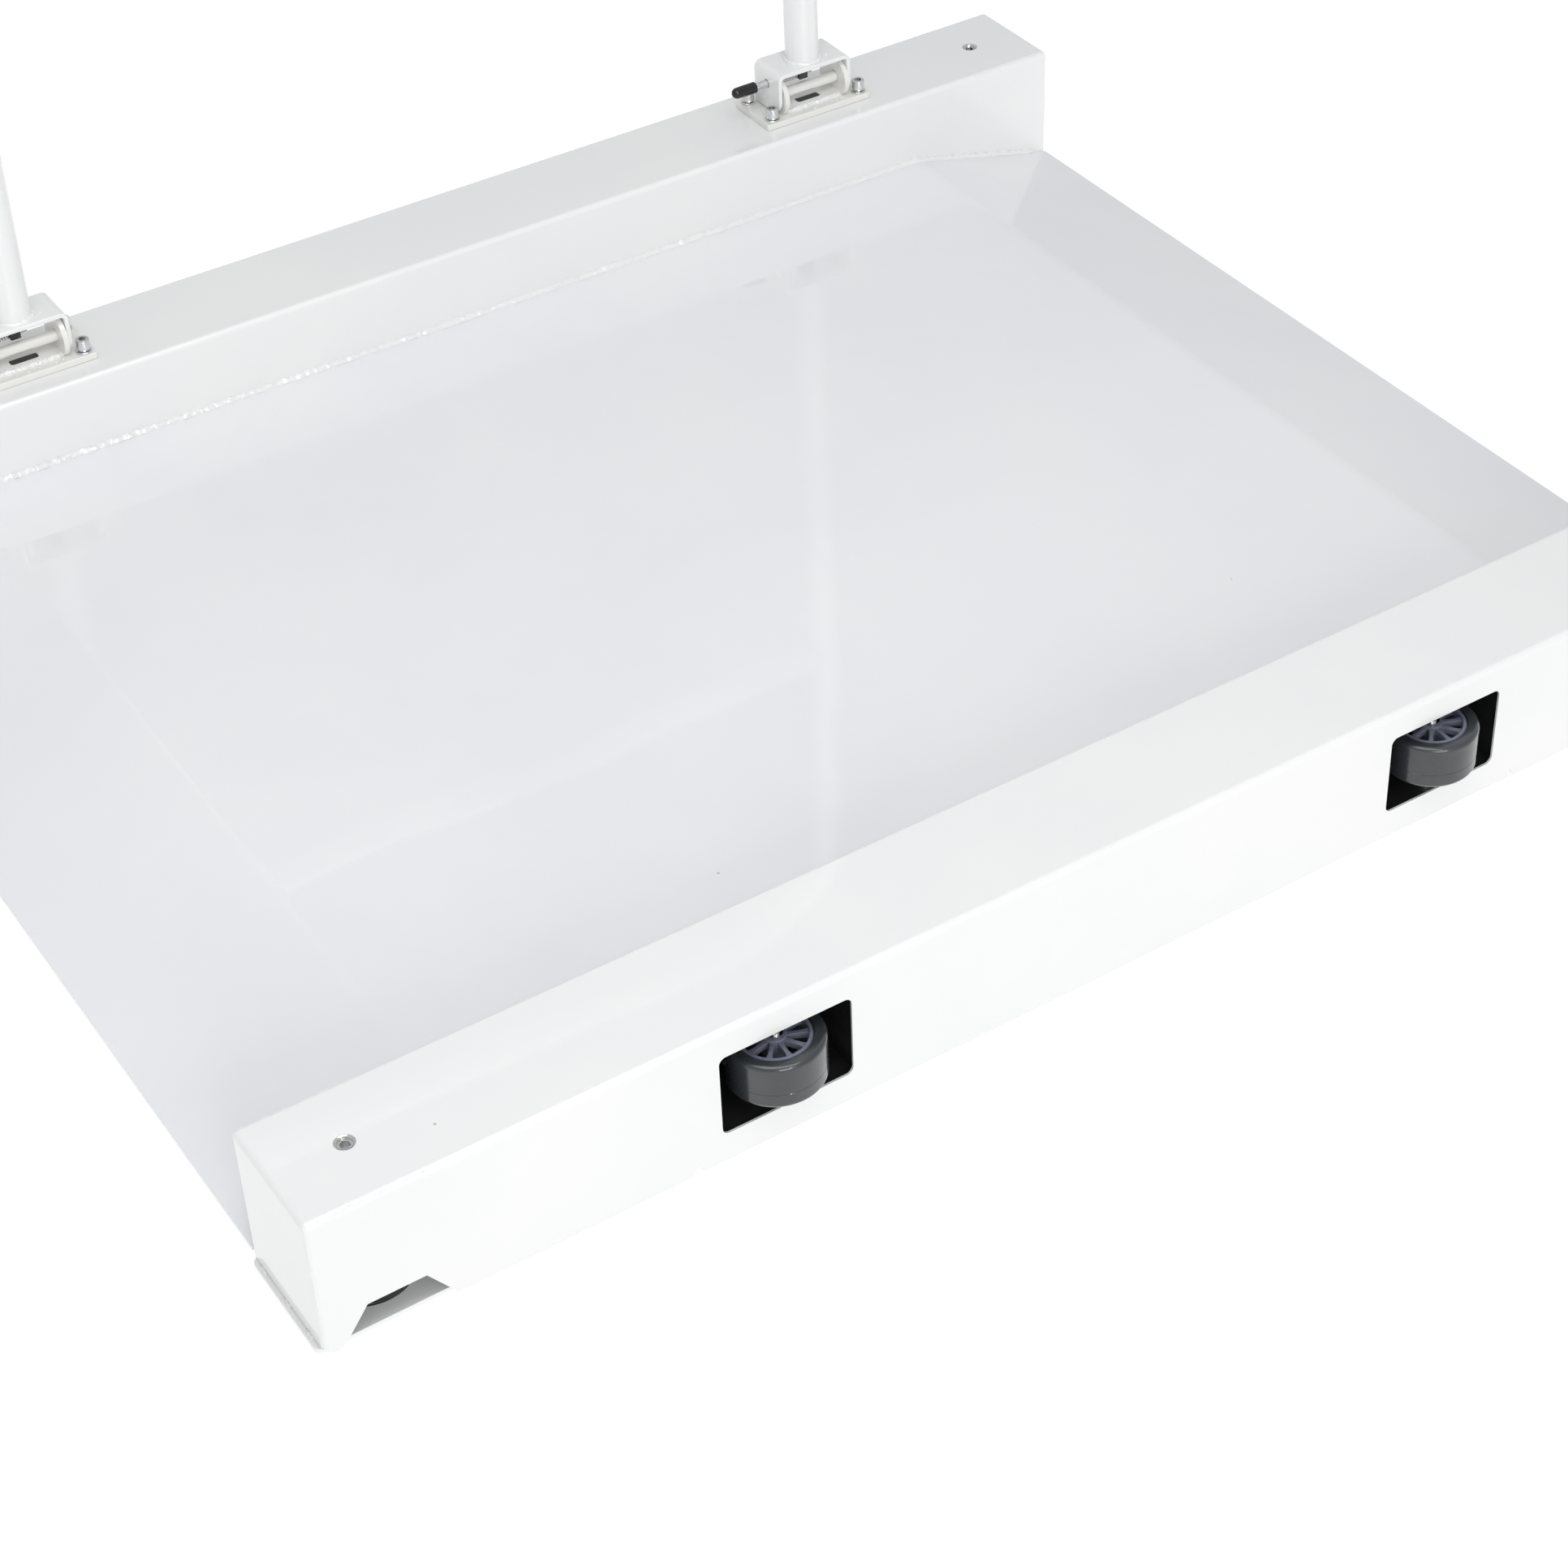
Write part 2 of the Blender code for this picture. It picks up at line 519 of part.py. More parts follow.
def hinge_base(label, x, paint):
    """The screwed-down plate with its two welded ears."""
    length, width, _ = HINGE_PLATE
    base = place(f"hinge_base_{label}", prism(rounded((x - length / 2, HINGE_Y - width / 2),
                                                      (x + length / 2, HINGE_Y + width / 2), HINGE_PLATE_CORNER, 2),
                                              "Z", BEAM_TOP + GAP, PLATE_TOP), paint)
    for side in (-1, 1):
        ear = sorted((x + side * EAR_INNER, x + side * EAR_OUTER))
        tool(base, prism(ear_outline(), "X", *ear), "UNION")
    tool(base, prism(latch_slot(), "X", x - EAR_OUTER - PAST_FACE, x - EAR_INNER + PAST_FACE))
    tool(base, box((x - HINGE_SLOT[0] / 2, PIN_Y - HINGE_SLOT[1] / 2, BEAM_TOP),
                   (x + HINGE_SLOT[0] / 2, PIN_Y + HINGE_SLOT[1] / 2, PLATE_TOP + PAST_FACE)))
    tool(base, cylinder(PIN_R + GAP, -EAR_OUTER - PAST_FACE, EAR_OUTER + PAST_FACE, (x, PIN_Y, PIN_Z), "X", 20))
    for sx, sy in screw_places(x):
        tool(base, cylinder(SCREW_R + GAP, BEAM_TOP, PLATE_TOP + PAST_FACE, (sx, sy, 0), steps=10))
    pin_end = FORK_INNER + PIN_SEAT - GAP
    place(f"hinge_pin_{label}", cylinder(PIN_R, -pin_end, pin_end, (x, PIN_Y, PIN_Z), "X", 20), paint)


def hinge_screw(name, x, y, zinc):
    """A cap screw with its flat and spring washers."""
    seat = PLATE_TOP + GAP
    washer_top = seat + FLAT_WASHER
    head_low = washer_top + SPRING_WASHER
    head_top = head_low + SCREW_HEAD
    stages = [(SCREW_R, head_low - SCREW_LENGTH, seat), (FLAT_WASHER_R, seat, washer_top),
              (SPRING_WASHER_R, washer_top, head_low), (SCREW_HEAD_R, head_low, head_top)]
    screw = place(name, turned(solid_profile(stages), (x, y, 0), steps=14), zinc)
    tool(screw, hexagon(SCREW_SOCKET_R, head_top - SCREW_HEAD / 2, head_top + PAST_FACE, (x, y, 0)))


def hinge_fork(label, x, paint, parent):
    """The moving inverted U that carries the post and straddles the ears."""
    low = PIN_Z - FORK_NOSE_R
    bend, inner_bend = FORK_BEND, FORK_BEND - FORK_SHEET
    quarter = math.pi / 2
    outer = arc((x + FORK_OUTER - bend, FORK_TOP - bend), bend, 0, quarter, 4)
    outer += arc((x - FORK_OUTER + bend, FORK_TOP - bend), bend, quarter, 2 * quarter, 4)
    ceiling = FORK_TOP - FORK_SHEET
    inner = arc((x - FORK_INNER + inner_bend, ceiling - inner_bend), inner_bend, 2 * quarter, quarter, 3)
    inner += arc((x + FORK_INNER - inner_bend, ceiling - inner_bend), inner_bend, quarter, 0, 3)
    outline = [(x + FORK_OUTER, low)] + outer + [(x - FORK_OUTER, low), (x - FORK_INNER, low)]
    outline += inner + [(x + FORK_INNER, low)]
    front, back = PIN_Y - FORK_NOSE_R, HINGE_Y + FORK_BACK
    fork = place(f"hinge_fork_{label}", prism(outline, "Y", front, back), paint, parent)
    past_back, past_low, past_top = back + PAST_FACE, low - PAST_FACE, FORK_TOP + PAST_FACE
    nose = [(past_back, past_low), (past_back, past_top), (front, past_top)]
    nose += arc((PIN_Y, PIN_Z), FORK_NOSE_R, math.pi, 1.5 * math.pi, 6) + [(PIN_Y, past_low)]
    tool(fork, prism(nose, "X", x - FORK_OUTER - PAST_FACE, x + FORK_OUTER + PAST_FACE), "INTERSECT")
    seat_end = FORK_INNER + PIN_SEAT
    tool(fork, cylinder(PIN_R + GAP, -seat_end, seat_end, (x, PIN_Y, PIN_Z), "X", 20))
    tool(fork, cylinder(ROD_R + ROD_PLAY, -FORK_OUTER - PAST_FACE, -FORK_INNER + PAST_FACE,
                        (x, ROD_Y, ROD_Z), "X", 14))


def latch(label, x, looks, rail):
    """The plunger that locks the rail: rod, cap, spring, and the block that guides its tip."""
    zinc, rubber, black, spring_steel = looks
    block_low = PIN_Z + BLOCK_ABOVE_PIN
    start = x + BLOCK_START
    middle = ROD_Y + BLOCK_BACK
    block = place(f"latch_block_{label}", box((start, middle - BLOCK_WIDTH / 2, block_low),
                                              (start + BLOCK_LENGTH, middle + BLOCK_WIDTH / 2,
                                               FORK_TOP - FORK_SHEET - GAP)), black, rail)
    tool(block, cylinder(ROD_TIP_R + ROD_PLAY, BLOCK_START - PAST_FACE, BLOCK_START + BLOCK_LENGTH + PAST_FACE,
                         (x, ROD_Y, ROD_Z), "X", 14))
    rod_axis = pivot(f"latch_axis_{label}", (x, ROD_Y, ROD_Z))
    rod_axis.parent = rail
    rod_axis.location -= rail.location
    cap_root = -FORK_OUTER - CAP_FROM_FORK
    collar_end = BLOCK_START - ROD_TRAVEL - SPRING_SHUT
    stages = [(ROD_R, cap_root - CAP_HOLD + GAP, collar_end - COLLAR), (COLLAR_R, collar_end - COLLAR, collar_end),
              (ROD_TIP_R, collar_end, BLOCK_START + BLOCK_LENGTH + ROD_TIP_PAST_BLOCK)]
    centre = (x, ROD_Y, ROD_Z)
    for name, bm, look in (
        (f"latch_rod_{label}", turned(solid_profile(stages), centre, "X", 16), zinc),
        (f"latch_cap_{label}", turned(cap_profile(cap_root), centre, "X", 20), rubber),
        (f"latch_spring_{label}", turned([(ROD_TIP_R + SPRING_PLAY, collar_end + SPRING_PLAY),
                                          (SPRING_R, collar_end + SPRING_PLAY),
                                          (SPRING_R, collar_end + SPRING_SHUT - SPRING_PLAY),
                                          (ROD_TIP_R + SPRING_PLAY, collar_end + SPRING_SHUT - SPRING_PLAY)],
                                         centre, "X", 16), spring_steel),
    ):
        bmesh.ops.translate(bm, verts=bm.verts, vec=-rail.location)
        place(name, bm, look, rod_axis)


def cap_profile(root):
    """A push-on cap: a round end, and a blind hole that grips the rod."""
    end = root - CAP_LENGTH
    dome = [(CAP_R * math.sin(turn), end + CAP_R * (1 - math.cos(turn)))
            for turn in (math.pi / 8 * step for step in range(5))]
    hole = ROD_R + GAP
    bottom = root - CAP_HOLD
    return dome + [(CAP_R, root), (hole, root), (hole, bottom), (0, bottom)]


def tube(start, end, radius, wall, steps=24):
    """A straight open tube between two points on one axis."""
    start, end = Vector(start), Vector(end)
    axis = "X" if abs(end.x - start.x) > MM else "Z"
    length = (end - start).length
    return turned([(radius - wall, 0), (radius, 0), (radius, length), (radius - wall, length)],
                  start, axis, steps)


def faces_of(items):
    return [item for item in items if isinstance(item, bmesh.types.BMFace)]


def top_rail(look, rail):
    """The bent tube over both posts, swept from a ring of faces."""
    bm = bmesh.new()
    left = Vector((-HINGE_FROM_MIDDLE, HINGE_Y, HANDRAIL_TOP - TUBE_R - RAIL_BEND))
    for radius in (TUBE_R, TUBE_R - TUBE_WALL):
        bmesh.ops.create_circle(bm, segments=24, radius=radius, matrix=Matrix.Translation(left))
    last = bmesh.ops.bridge_loops(bm, edges=bm.edges)["faces"]
    inner = HINGE_FROM_MIDDLE - RAIL_BEND
    inside = []
    for centre_x, run in ((-inner, 2 * inner), (inner, 0)):
        last = faces_of(bmesh.ops.spin(bm, geom=last, cent=(centre_x, HINGE_Y, left.z), axis=(0, 1, 0),
                                       angle=math.pi / 2, steps=8)["geom_last"])
        if run:
            moved = bmesh.ops.extrude_face_region(bm, geom=last)["geom"]
            bmesh.ops.translate(bm, vec=(run, 0, 0),
                                verts=[item for item in moved if isinstance(item, bmesh.types.BMVert)])
            inside += last
            last = faces_of(moved)
            inside += last
    bmesh.ops.delete(bm, geom=inside, context="FACES_ONLY")
    place("top_rail", bm, look, rail)


def handrail(paint, looks):
    """Posts, rails, forks and latches, all turning on the hinge pins' line."""
    rail = pivot("handrail_axis", (0, PIN_Y, PIN_Z))
    for label, side in (("left", -1), ("right", 1)):
        x = side * HINGE_FROM_MIDDLE
        hinge_fork(label, x, paint, rail)
        latch(label, x, looks, rail)
        place(f"post_{label}", tube((x, HINGE_Y, FORK_TOP + GAP),
                                    (x, HINGE_Y, HANDRAIL_TOP - TUBE_R - RAIL_BEND - GAP), TUBE_R, TUBE_WALL),
              paint, rail)
    reach = HINGE_FROM_MIDDLE - TUBE_R / 2
    mid = place("mid_rail", tube((-reach, HINGE_Y, MID_RAIL_HEIGHT), (reach, HINGE_Y, MID_RAIL_HEIGHT),
                                 MID_RAIL_R, TUBE_WALL), paint, rail)
    for side in (-1, 1):
        tool(mid, cylinder(TUBE_R + GAP, MID_RAIL_HEIGHT - 2 * TUBE_R, MID_RAIL_HEIGHT + 2 * TUBE_R,
                           (side * HINGE_FROM_MIDDLE, HINGE_Y, 0), steps=24))
    top_rail(paint, rail)


def main():
    clear_scene()
    paint = material("white_paint", (0.86, 0.86, 0.85), 0.25)
    zinc = material("zinc_plate", (0.62, 0.63, 0.65), 0.3, 1.0)
    alloy = material("load_cell_alloy", (0.70, 0.71, 0.73), 0.4, 1.0)
    rubber = material("black_rubber", (0.02, 0.02, 0.02), 0.7)
    black = material("black_paint", (0.02, 0.02, 0.022), 0.5)
    hub_grey = material("hub_plastic", (0.15, 0.16, 0.20), 0.4)
    tyre_grey = material("tyre_plastic", (0.07, 0.072, 0.08), 0.3)
    spring_steel = material("spring_steel", (0.55, 0.55, 0.57), 0.35, 1.0)

    hinges = {"left": -HINGE_FROM_MIDDLE, "right": HINGE_FROM_MIDDLE}
    holes = [spot for x in hinges.values() for spot in screw_places(x)]
    side_beam("side_beam_near", NEAR_FACE, 1, paint, True, [])
    side_beam("side_beam_far", FAR_FACE, -1, paint, False, holes)
    deck(paint)
    ribs(paint)
    junction_box(black)
    for beam, outer, inward in (("near", NEAR_FACE, 1), ("far", FAR_FACE, -1)):
        for end, side in (("left", -1), ("right", 1)):
            beam_end(f"{beam}_{end}", side, outer, inward, (paint, alloy, rubber, zinc))
    for label, side in (("left", -1), ("right", 1)):
        transport_wheel(label, side, (black, zinc, hub_grey, tyre_grey))
    for label, x in hinges.items():
        hinge_base(label, x, paint)
        for index, (sx, sy) in enumerate(screw_places(x)):
            hinge_screw(f"hinge_screw_{label}_{index + 1}", sx, sy, zinc)
    handrail(paint, (zinc, rubber, black, spring_steel))


main()
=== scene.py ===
"""Looks of a wheelchair platform scale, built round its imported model.

Metres, +Z up, +X along the beams, +Y from the wheeled near beam to the handrail's beam.
"""

import logging
import math
from dataclasses import dataclass
from enum import Enum
from typing import Callable, Iterable, Sequence

import bmesh
import bpy
from bmesh.types import BMesh
from bpy.types import Material, Node, NodeSocket, NodeTree, Object
from mathutils import Matrix, Vector, noise


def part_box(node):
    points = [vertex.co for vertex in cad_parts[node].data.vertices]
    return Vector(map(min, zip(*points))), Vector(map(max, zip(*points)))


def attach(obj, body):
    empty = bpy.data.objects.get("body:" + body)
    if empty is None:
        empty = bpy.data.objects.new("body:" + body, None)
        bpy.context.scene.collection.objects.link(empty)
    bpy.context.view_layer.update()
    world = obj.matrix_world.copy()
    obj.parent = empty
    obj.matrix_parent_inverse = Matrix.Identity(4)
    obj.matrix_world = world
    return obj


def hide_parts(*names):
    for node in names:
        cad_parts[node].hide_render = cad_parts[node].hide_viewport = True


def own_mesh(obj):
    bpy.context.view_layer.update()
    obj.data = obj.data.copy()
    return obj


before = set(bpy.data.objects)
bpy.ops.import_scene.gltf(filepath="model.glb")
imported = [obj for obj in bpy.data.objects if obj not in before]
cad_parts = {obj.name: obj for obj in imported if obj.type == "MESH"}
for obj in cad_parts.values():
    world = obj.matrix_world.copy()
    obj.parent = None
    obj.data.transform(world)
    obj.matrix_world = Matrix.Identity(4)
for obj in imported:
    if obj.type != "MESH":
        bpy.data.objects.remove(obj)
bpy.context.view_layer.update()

LOG = logging.getLogger("platform_scale")
MM = 0.001
QUARTER = math.pi / 2
PAST = 1 * MM  # how far a cutter runs past the face it cuts
MERGE = 0.001 * MM  # points closer than this become one
SHARP_ANGLE = math.radians(38)
ROUND_ANGLE = math.radians(50)
UP = Vector((0.0, 0.0, 1.0))
SIDES = (("left", -1), ("right", 1))
Point = tuple[float, float]


class Body(Enum):
    """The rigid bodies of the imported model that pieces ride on."""

    PLATFORM = "platform"
    HANDRAIL = "handrail"


class Slot(Enum):
    """Names of the material slots."""

    PAINT = "white_paint"
    ZINC = "zinc_plate"
    ALLOY = "load_cell_alloy"
    RUBBER = "black_rubber"
    BLACK = "black_paint"
    HUB = "hub_plastic"
    TYRE = "tyre_plastic"
    SPRING = "spring_steel"


class Axis(Enum):
    """A direction of the shared frame."""

    X = 0
    Y = 1
    Z = 2


# ---------------------------------------------------------------- shapes


def arc(centre: Point, radius: float, start: float, end: float, steps: int) -> list[Point]:
    """Points on a circle, from one angle to another.

    Args:
        centre: Middle of the circle.
        radius: Its radius.
        start: First angle, in radians.
        end: Last angle, in radians.
        steps: Number of equal steps between them.

    Returns:
        steps + 1 points.
    """
    turns = [start + (end - start) * step / steps for step in range(steps + 1)]
    return [(centre[0] + radius * math.cos(turn), centre[1] + radius * math.sin(turn)) for turn in turns]


def rounded(low: Point, high: Point, radius: float, steps: int = 8) -> list[Point]:
    """The outline of a rectangle with round corners.

    Args:
        low: Lowest corner.
        high: Highest corner.
        radius: Corner radius.
        steps: Steps in each corner.

    Returns:
        The outline's points, in order.
    """
    x0, x1 = low[0] + radius, high[0] - radius
    y0, y1 = low[1] + radius, high[1] - radius
    corners = ((x1, y1), (x0, y1), (x0, y0), (x1, y0))
    return [point for turn, corner in enumerate(corners)
            for point in arc(corner, radius, turn * QUARTER, (turn + 1) * QUARTER, steps)]


def bevelled(bm: BMesh, picks: Callable[[bmesh.types.BMEdge], bool], offset: float, segments: int) -> BMesh:
    """Rounds the edges that a test picks.

    Args:
        bm: The mesh to change.
        picks: Test of one edge.
        offset: Width of the round.
        segments: Steps across it.

    Returns:
        The same mesh.
    """
    bmesh.ops.bevel(bm, geom=[edge for edge in bm.edges if picks(edge)], offset=offset, segments=segments,
                    profile=0.5, affect="EDGES", material=-1)
    return bm


def block(low: Sequence[float], high: Sequence[float]) -> BMesh:
    """A box between two opposite corners, given in any order.

    Args:
        low: One corner.
        high: The corner across from it.

    Returns:
        The box.
    """
    first, last = Vector(map(min, low, high)), Vector(map(max, low, high))
    bm = bmesh.new()
    place = Matrix.Translation((first + last) / 2) @ Matrix.Diagonal((*(last - first), 1.0))
    bmesh.ops.create_cube(bm, size=1.0, matrix=place)
    return bm


def prism(outline: Sequence[Point], axis: Axis, low: float, high: float) -> BMesh:
    """An outline extruded along an axis.

    Args:
        outline: Points in the plane across the axis, as (y, z), (x, z) or (x, y).
        axis: The direction of the extrusion.
        low: Where it starts.
        high: Where it ends.

    Returns:
        The closed prism.
    """
    bm = bmesh.new()
    verts = []
    for a, b in outline:
        point = [a, b]
        point.insert(axis.value, low)
        verts.append(bm.verts.new(point))
    moved = bmesh.ops.extrude_face_region(bm, geom=[bm.faces.new(verts)])["geom"]
    step = Vector((0.0, 0.0, 0.0))
    step[axis.value] = high - low
    bmesh.ops.translate(bm, vec=step, verts=[item for item in moved if isinstance(item, bmesh.types.BMVert)])
    return bm


def turned(profile: Sequence[Point], centre: Sequence[float], axis: Axis = Axis.Z, steps: int = 64) -> BMesh:
    """A closed profile turned round an axis.

    Args:
        profile: Points as (radius, height along the axis).
        centre: A point on the axis, at height nought.
        axis: Axis.Z or Axis.X.
        steps: Steps in the turn.

    Returns:
        The turned solid.
    """
    bm = bmesh.new()
    verts = [bm.verts.new((radius, 0.0, height)) for radius, height in profile]
    edges = [bm.edges.new(pair) for pair in zip(verts, verts[1:] + verts[:1])]
    bmesh.ops.spin(bm, geom=verts + edges, cent=(0, 0, 0), axis=(0, 0, 1), angle=math.tau, steps=steps,
                   use_merge=True)
    bmesh.ops.remove_doubles(bm, verts=bm.verts, dist=MERGE)
    bmesh.ops.dissolve_degenerate(bm, edges=bm.edges, dist=MERGE)
    if axis is Axis.X:
        bmesh.ops.rotate(bm, verts=bm.verts, matrix=Matrix.Rotation(QUARTER, 3, "Y"))
    bmesh.ops.translate(bm, verts=bm.verts, vec=centre)
    return bm


def stages(parts: Sequence[tuple[float, float, float]], chamfer: float = 0.0) -> list[Point]:
    """The profile of a stepped shaft, closed on its axis.

    Args:
        parts: Each stage as (radius, start, end).
        chamfer: Chamfer at the two ends of the shaft.

    Returns:
        The profile's points.
    """
    first, last = parts[0], parts[-1]
    points = [(0.0, first[1])]
    for index, (radius, start, end) in enumerate(parts):
        lead = chamfer if index == 0 else 0.0
        tail = chamfer if index == len(parts) - 1 else 0.0
        points += [(radius - chamfer, start)] if lead else []
        points += [(radius, start + lead), (radius, end - tail)]
        points += [(radius - chamfer, end)] if tail else []
    return points + [(0.0, last[2])]


def cylinder(radius: float, low: float, high: float, centre: Sequence[float], axis: Axis = Axis.Z,
             steps: int = 48, chamfer: float = 0.0) -> BMesh:
    """A closed cylinder from low to high along an axis through a centre.

    Args:
        radius: Its radius.
        low: Where it starts along the axis.
        high: Where it ends.
        centre: A point on the axis, at height nought.
        axis: Axis.Z or Axis.X.
        steps: Steps round it.
        chamfer: Chamfer at both ends.

    Returns:
        The cylinder.
    """
    return turned(stages([(radius, low, high)], chamfer), centre, axis, steps)


def hexagon(across: float, low: float, high: float, centre: Sequence[float]) -> BMesh:
    """An upright hexagonal prism, across being its width from flat to flat.

    Args:
        across: Width from flat to flat.
        low: Where it starts above the centre.
        high: Where it ends.
        centre: The point it stands round.

    Returns:
        The closed prism.
    """
    bm = bmesh.new()
    bmesh.ops.create_cone(bm, cap_ends=True, segments=6, radius1=across / math.sqrt(3),
                          radius2=across / math.sqrt(3), depth=high - low,
                          matrix=Matrix.Translation((centre[0], centre[1], centre[2] + (low + high) / 2)))
    return bm


def swept(points: Sequence[Vector], radius: Callable[[float, float], float], up: Vector, sides: int = 10,
          closed: bool = False) -> BMesh:
    """A tube along a line of points, from a grid bent round it.

    Args:
        points: The tube's centre line.
        radius: Radius at (share of the length, angle round the tube).
        up: A direction never parallel to the line.
        sides: Faces round the tube.
        closed: Whether the line comes back to its start.

    Returns:
        The closed tube.
    """
    count = len(points)
    runs = count if closed else count - 1
    bm = bmesh.new()
    bmesh.ops.create_grid(bm, x_segments=runs, y_segments=sides, size=0.5)
    for vert in bm.verts:
        along = round((vert.co.x + 0.5) * runs)
        turn = math.tau * round((vert.co.y + 0.5) * sides) / sides
        here = points[along % count]
        ahead = points[(along + 1) % count] if closed or along < runs else here
        behind = points[along - 1] if closed or along > 0 else here
        tangent = (ahead - behind).normalized()
        across = (up - tangent * up.dot(tangent)).normalized()
        reach = radius((along % count) / runs, turn)
        vert.co = here + reach * (math.cos(turn) * across + math.sin(turn) * tangent.cross(across))
    bmesh.ops.remove_doubles(bm, verts=bm.verts, dist=MERGE)
    bmesh.ops.holes_fill(bm, edges=[edge for edge in bm.edges if edge.is_boundary], sides=0)
    return bm


def scratch_object(bm: BMesh) -> Object:
    """A short-lived object from a mesh, with its faces pointing outwards.

    Args:
        bm: Its mesh, which is used up.

    Returns:
        The object.
    """
    bmesh.ops.recalc_face_normals(bm, faces=bm.faces)
    mesh = bpy.data.meshes.new("scratch")
    bm.to_mesh(mesh)
    bm.free()
    made = bpy.data.objects.new("scratch", mesh)
    bpy.context.collection.objects.link(made)
    return made


def carved(bm: BMesh, cuts: Iterable[BMesh] = (), joins: Iterable[BMesh] = (),
           keeps: Iterable[BMesh] = ()) -> BMesh:
    """A mesh with others joined to it, cut from it, and met with it, in that order.

    Args:
        bm: The mesh to start from, which is used up.
        cuts: Meshes to cut away.
        joins: Meshes to join.
        keeps: Meshes outside which nothing is kept.

    Returns:
        The new mesh.
    """
    base = scratch_object(bm)
    helpers = []
    for operation, tools in (("UNION", joins), ("DIFFERENCE", cuts), ("INTERSECT", keeps)):
        for tool in tools:
            helper = scratch_object(tool)
            helpers.append(helper)
            modifier = base.modifiers.new(operation, "BOOLEAN")
            modifier.operation = operation
            modifier.solver = "EXACT"
            modifier.object = helper
    bpy.context.view_layer.update()
    made = bmesh.new()
    made.from_object(base, bpy.context.evaluated_depsgraph_get())
    for used in (base, *helpers):
        mesh = used.data
        bpy.data.objects.remove(used)
        bpy.data.meshes.remove(mesh)
    return made


def together(*meshes: BMesh) -> BMesh:
    """Several meshes as one, each used up.

    Args:
        *meshes: The meshes.

    Returns:
        One mesh with all their faces.
    """
    made = bmesh.new()
    for bm in meshes:
        bmesh.ops.recalc_face_normals(bm, faces=bm.faces)
        mesh = bpy.data.meshes.new("scratch")
        bm.to_mesh(mesh)
        bm.free()
        made.from_mesh(mesh)
        bpy.data.meshes.remove(mesh)
    return made


def piece(name: str, bm: BMesh, look: Material, body: str, stands_for: Sequence[str] = (),
          edge: float = 0.0) -> Object:
    """Turns a mesh into a finished piece of the object.

    Args:
        name: The piece's name.
        bm: Its mesh in the shared frame, which is used up.
        look: Its material.
        body: The body it rides on.
        stands_for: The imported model's nodes that it replaces.
        edge: Width of the small round on its sharp edges, or nought.

    Returns:
        The finished object.
    """
    bmesh.ops.remove_doubles(bm, verts=bm.verts, dist=MERGE)
    bmesh.ops.recalc_face_normals(bm, faces=bm.faces)
    mesh = bpy.data.meshes.new(name)
    bm.to_mesh(mesh)
    bm.free()
    mesh.materials.clear()
    mesh.materials.append(look)
    made = bpy.data.objects.new(name, mesh)
    bpy.context.collection.objects.link(made)
    mesh.shade_smooth()
    mesh.set_sharp_from_angle(angle=SHARP_ANGLE)
    if edge:
        round_edges = made.modifiers.new("round_edges", "BEVEL")
        round_edges.width = edge
        round_edges.segments = 2
        round_edges.limit_method = "ANGLE"
        round_edges.angle_limit = ROUND_ANGLE
        round_edges.harden_normals = True
    keep_flat = made.modifiers.new("keep_flat", "WEIGHTED_NORMAL")
    keep_flat.keep_sharp = True
    keep_flat.weight = 100
    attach(made, body)
    if stands_for:
        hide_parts(*stands_for)
    LOG.info("%s: %d faces, rides on %s, stands for %s", name, len(mesh.polygons), body,
             ", ".join(stands_for) or "nothing")
    return made


def weld(path: Sequence[Vector], size: float, up: Vector, closed: bool = False, lumps: float = 0.3,
         seed: float = 0.0, sides: int = 10) -> BMesh:
    """A painted weld bead along a line, with the ripples and lumps of hand welding.

    Args:
        path: Points along the bead's middle.
        size: Its mean radius.
        up: A direction never parallel to the path.
        closed: Whether it runs all the way round.
        lumps: How uneven it is, as a share of its radius.
        seed: Shifts the unevenness, so that no two beads match.
        sides: Faces round the bead.

    Returns:
        The bead.
    """
    length = sum((b - a).length for a, b in zip(path, path[1:]))

    def reach(share: float, turn: float) -> float:
        """The bead's radius at one place.

        Args:
            share: Share of the bead's length.
            turn: Angle round the bead.

        Returns:
            The radius.
        """
        along = share * length
        if closed:
            spot = Vector((math.cos(share * math.tau), math.sin(share * math.tau), 0.0)) * length / math.tau
        else:
            spot = Vector((along, 0.0, 0.0))
        round_it = Vector((0.0, 0.3 * math.cos(turn), 0.3 * math.sin(turn)))
        fine = noise.noise(spot / (2.2 * MM) + round_it * 2.0 + Vector((seed, seed, seed)))
        broad = noise.noise(spot / (14 * MM) + Vector((seed, 7.0, seed)))
        ends = 1.0 if closed else min(1.0, 0.15 + min(along, length - along) / (3 * size))
        return size * ends * (1.0 + lumps * fine + 0.7 * lumps * broad)

    return swept(path, reach, up, sides, closed)


def ring(centre: Vector, radius: float, steps: int) -> list[Vector]:
    """Points round a level circle.

    Args:
        centre: Its middle.
        radius: Its radius.
        steps: Number of points.

    Returns:
        The points.
    """
    return [centre + Vector((radius * math.cos(turn), radius * math.sin(turn), 0.0))
            for turn in (math.tau * step / steps for step in range(steps))]


def straight(start: Vector, end: Vector, pitch: float) -> list[Vector]:
    """Points along a straight line, about a pitch apart.

    Args:
        start: First point.
        end: Last point.
        pitch: Wanted distance between points.

    Returns:
        At least five points.
    """
    count = max(4, round((end - start).length / pitch))
    return [start.lerp(end, step / count) for step in range(count + 1)]


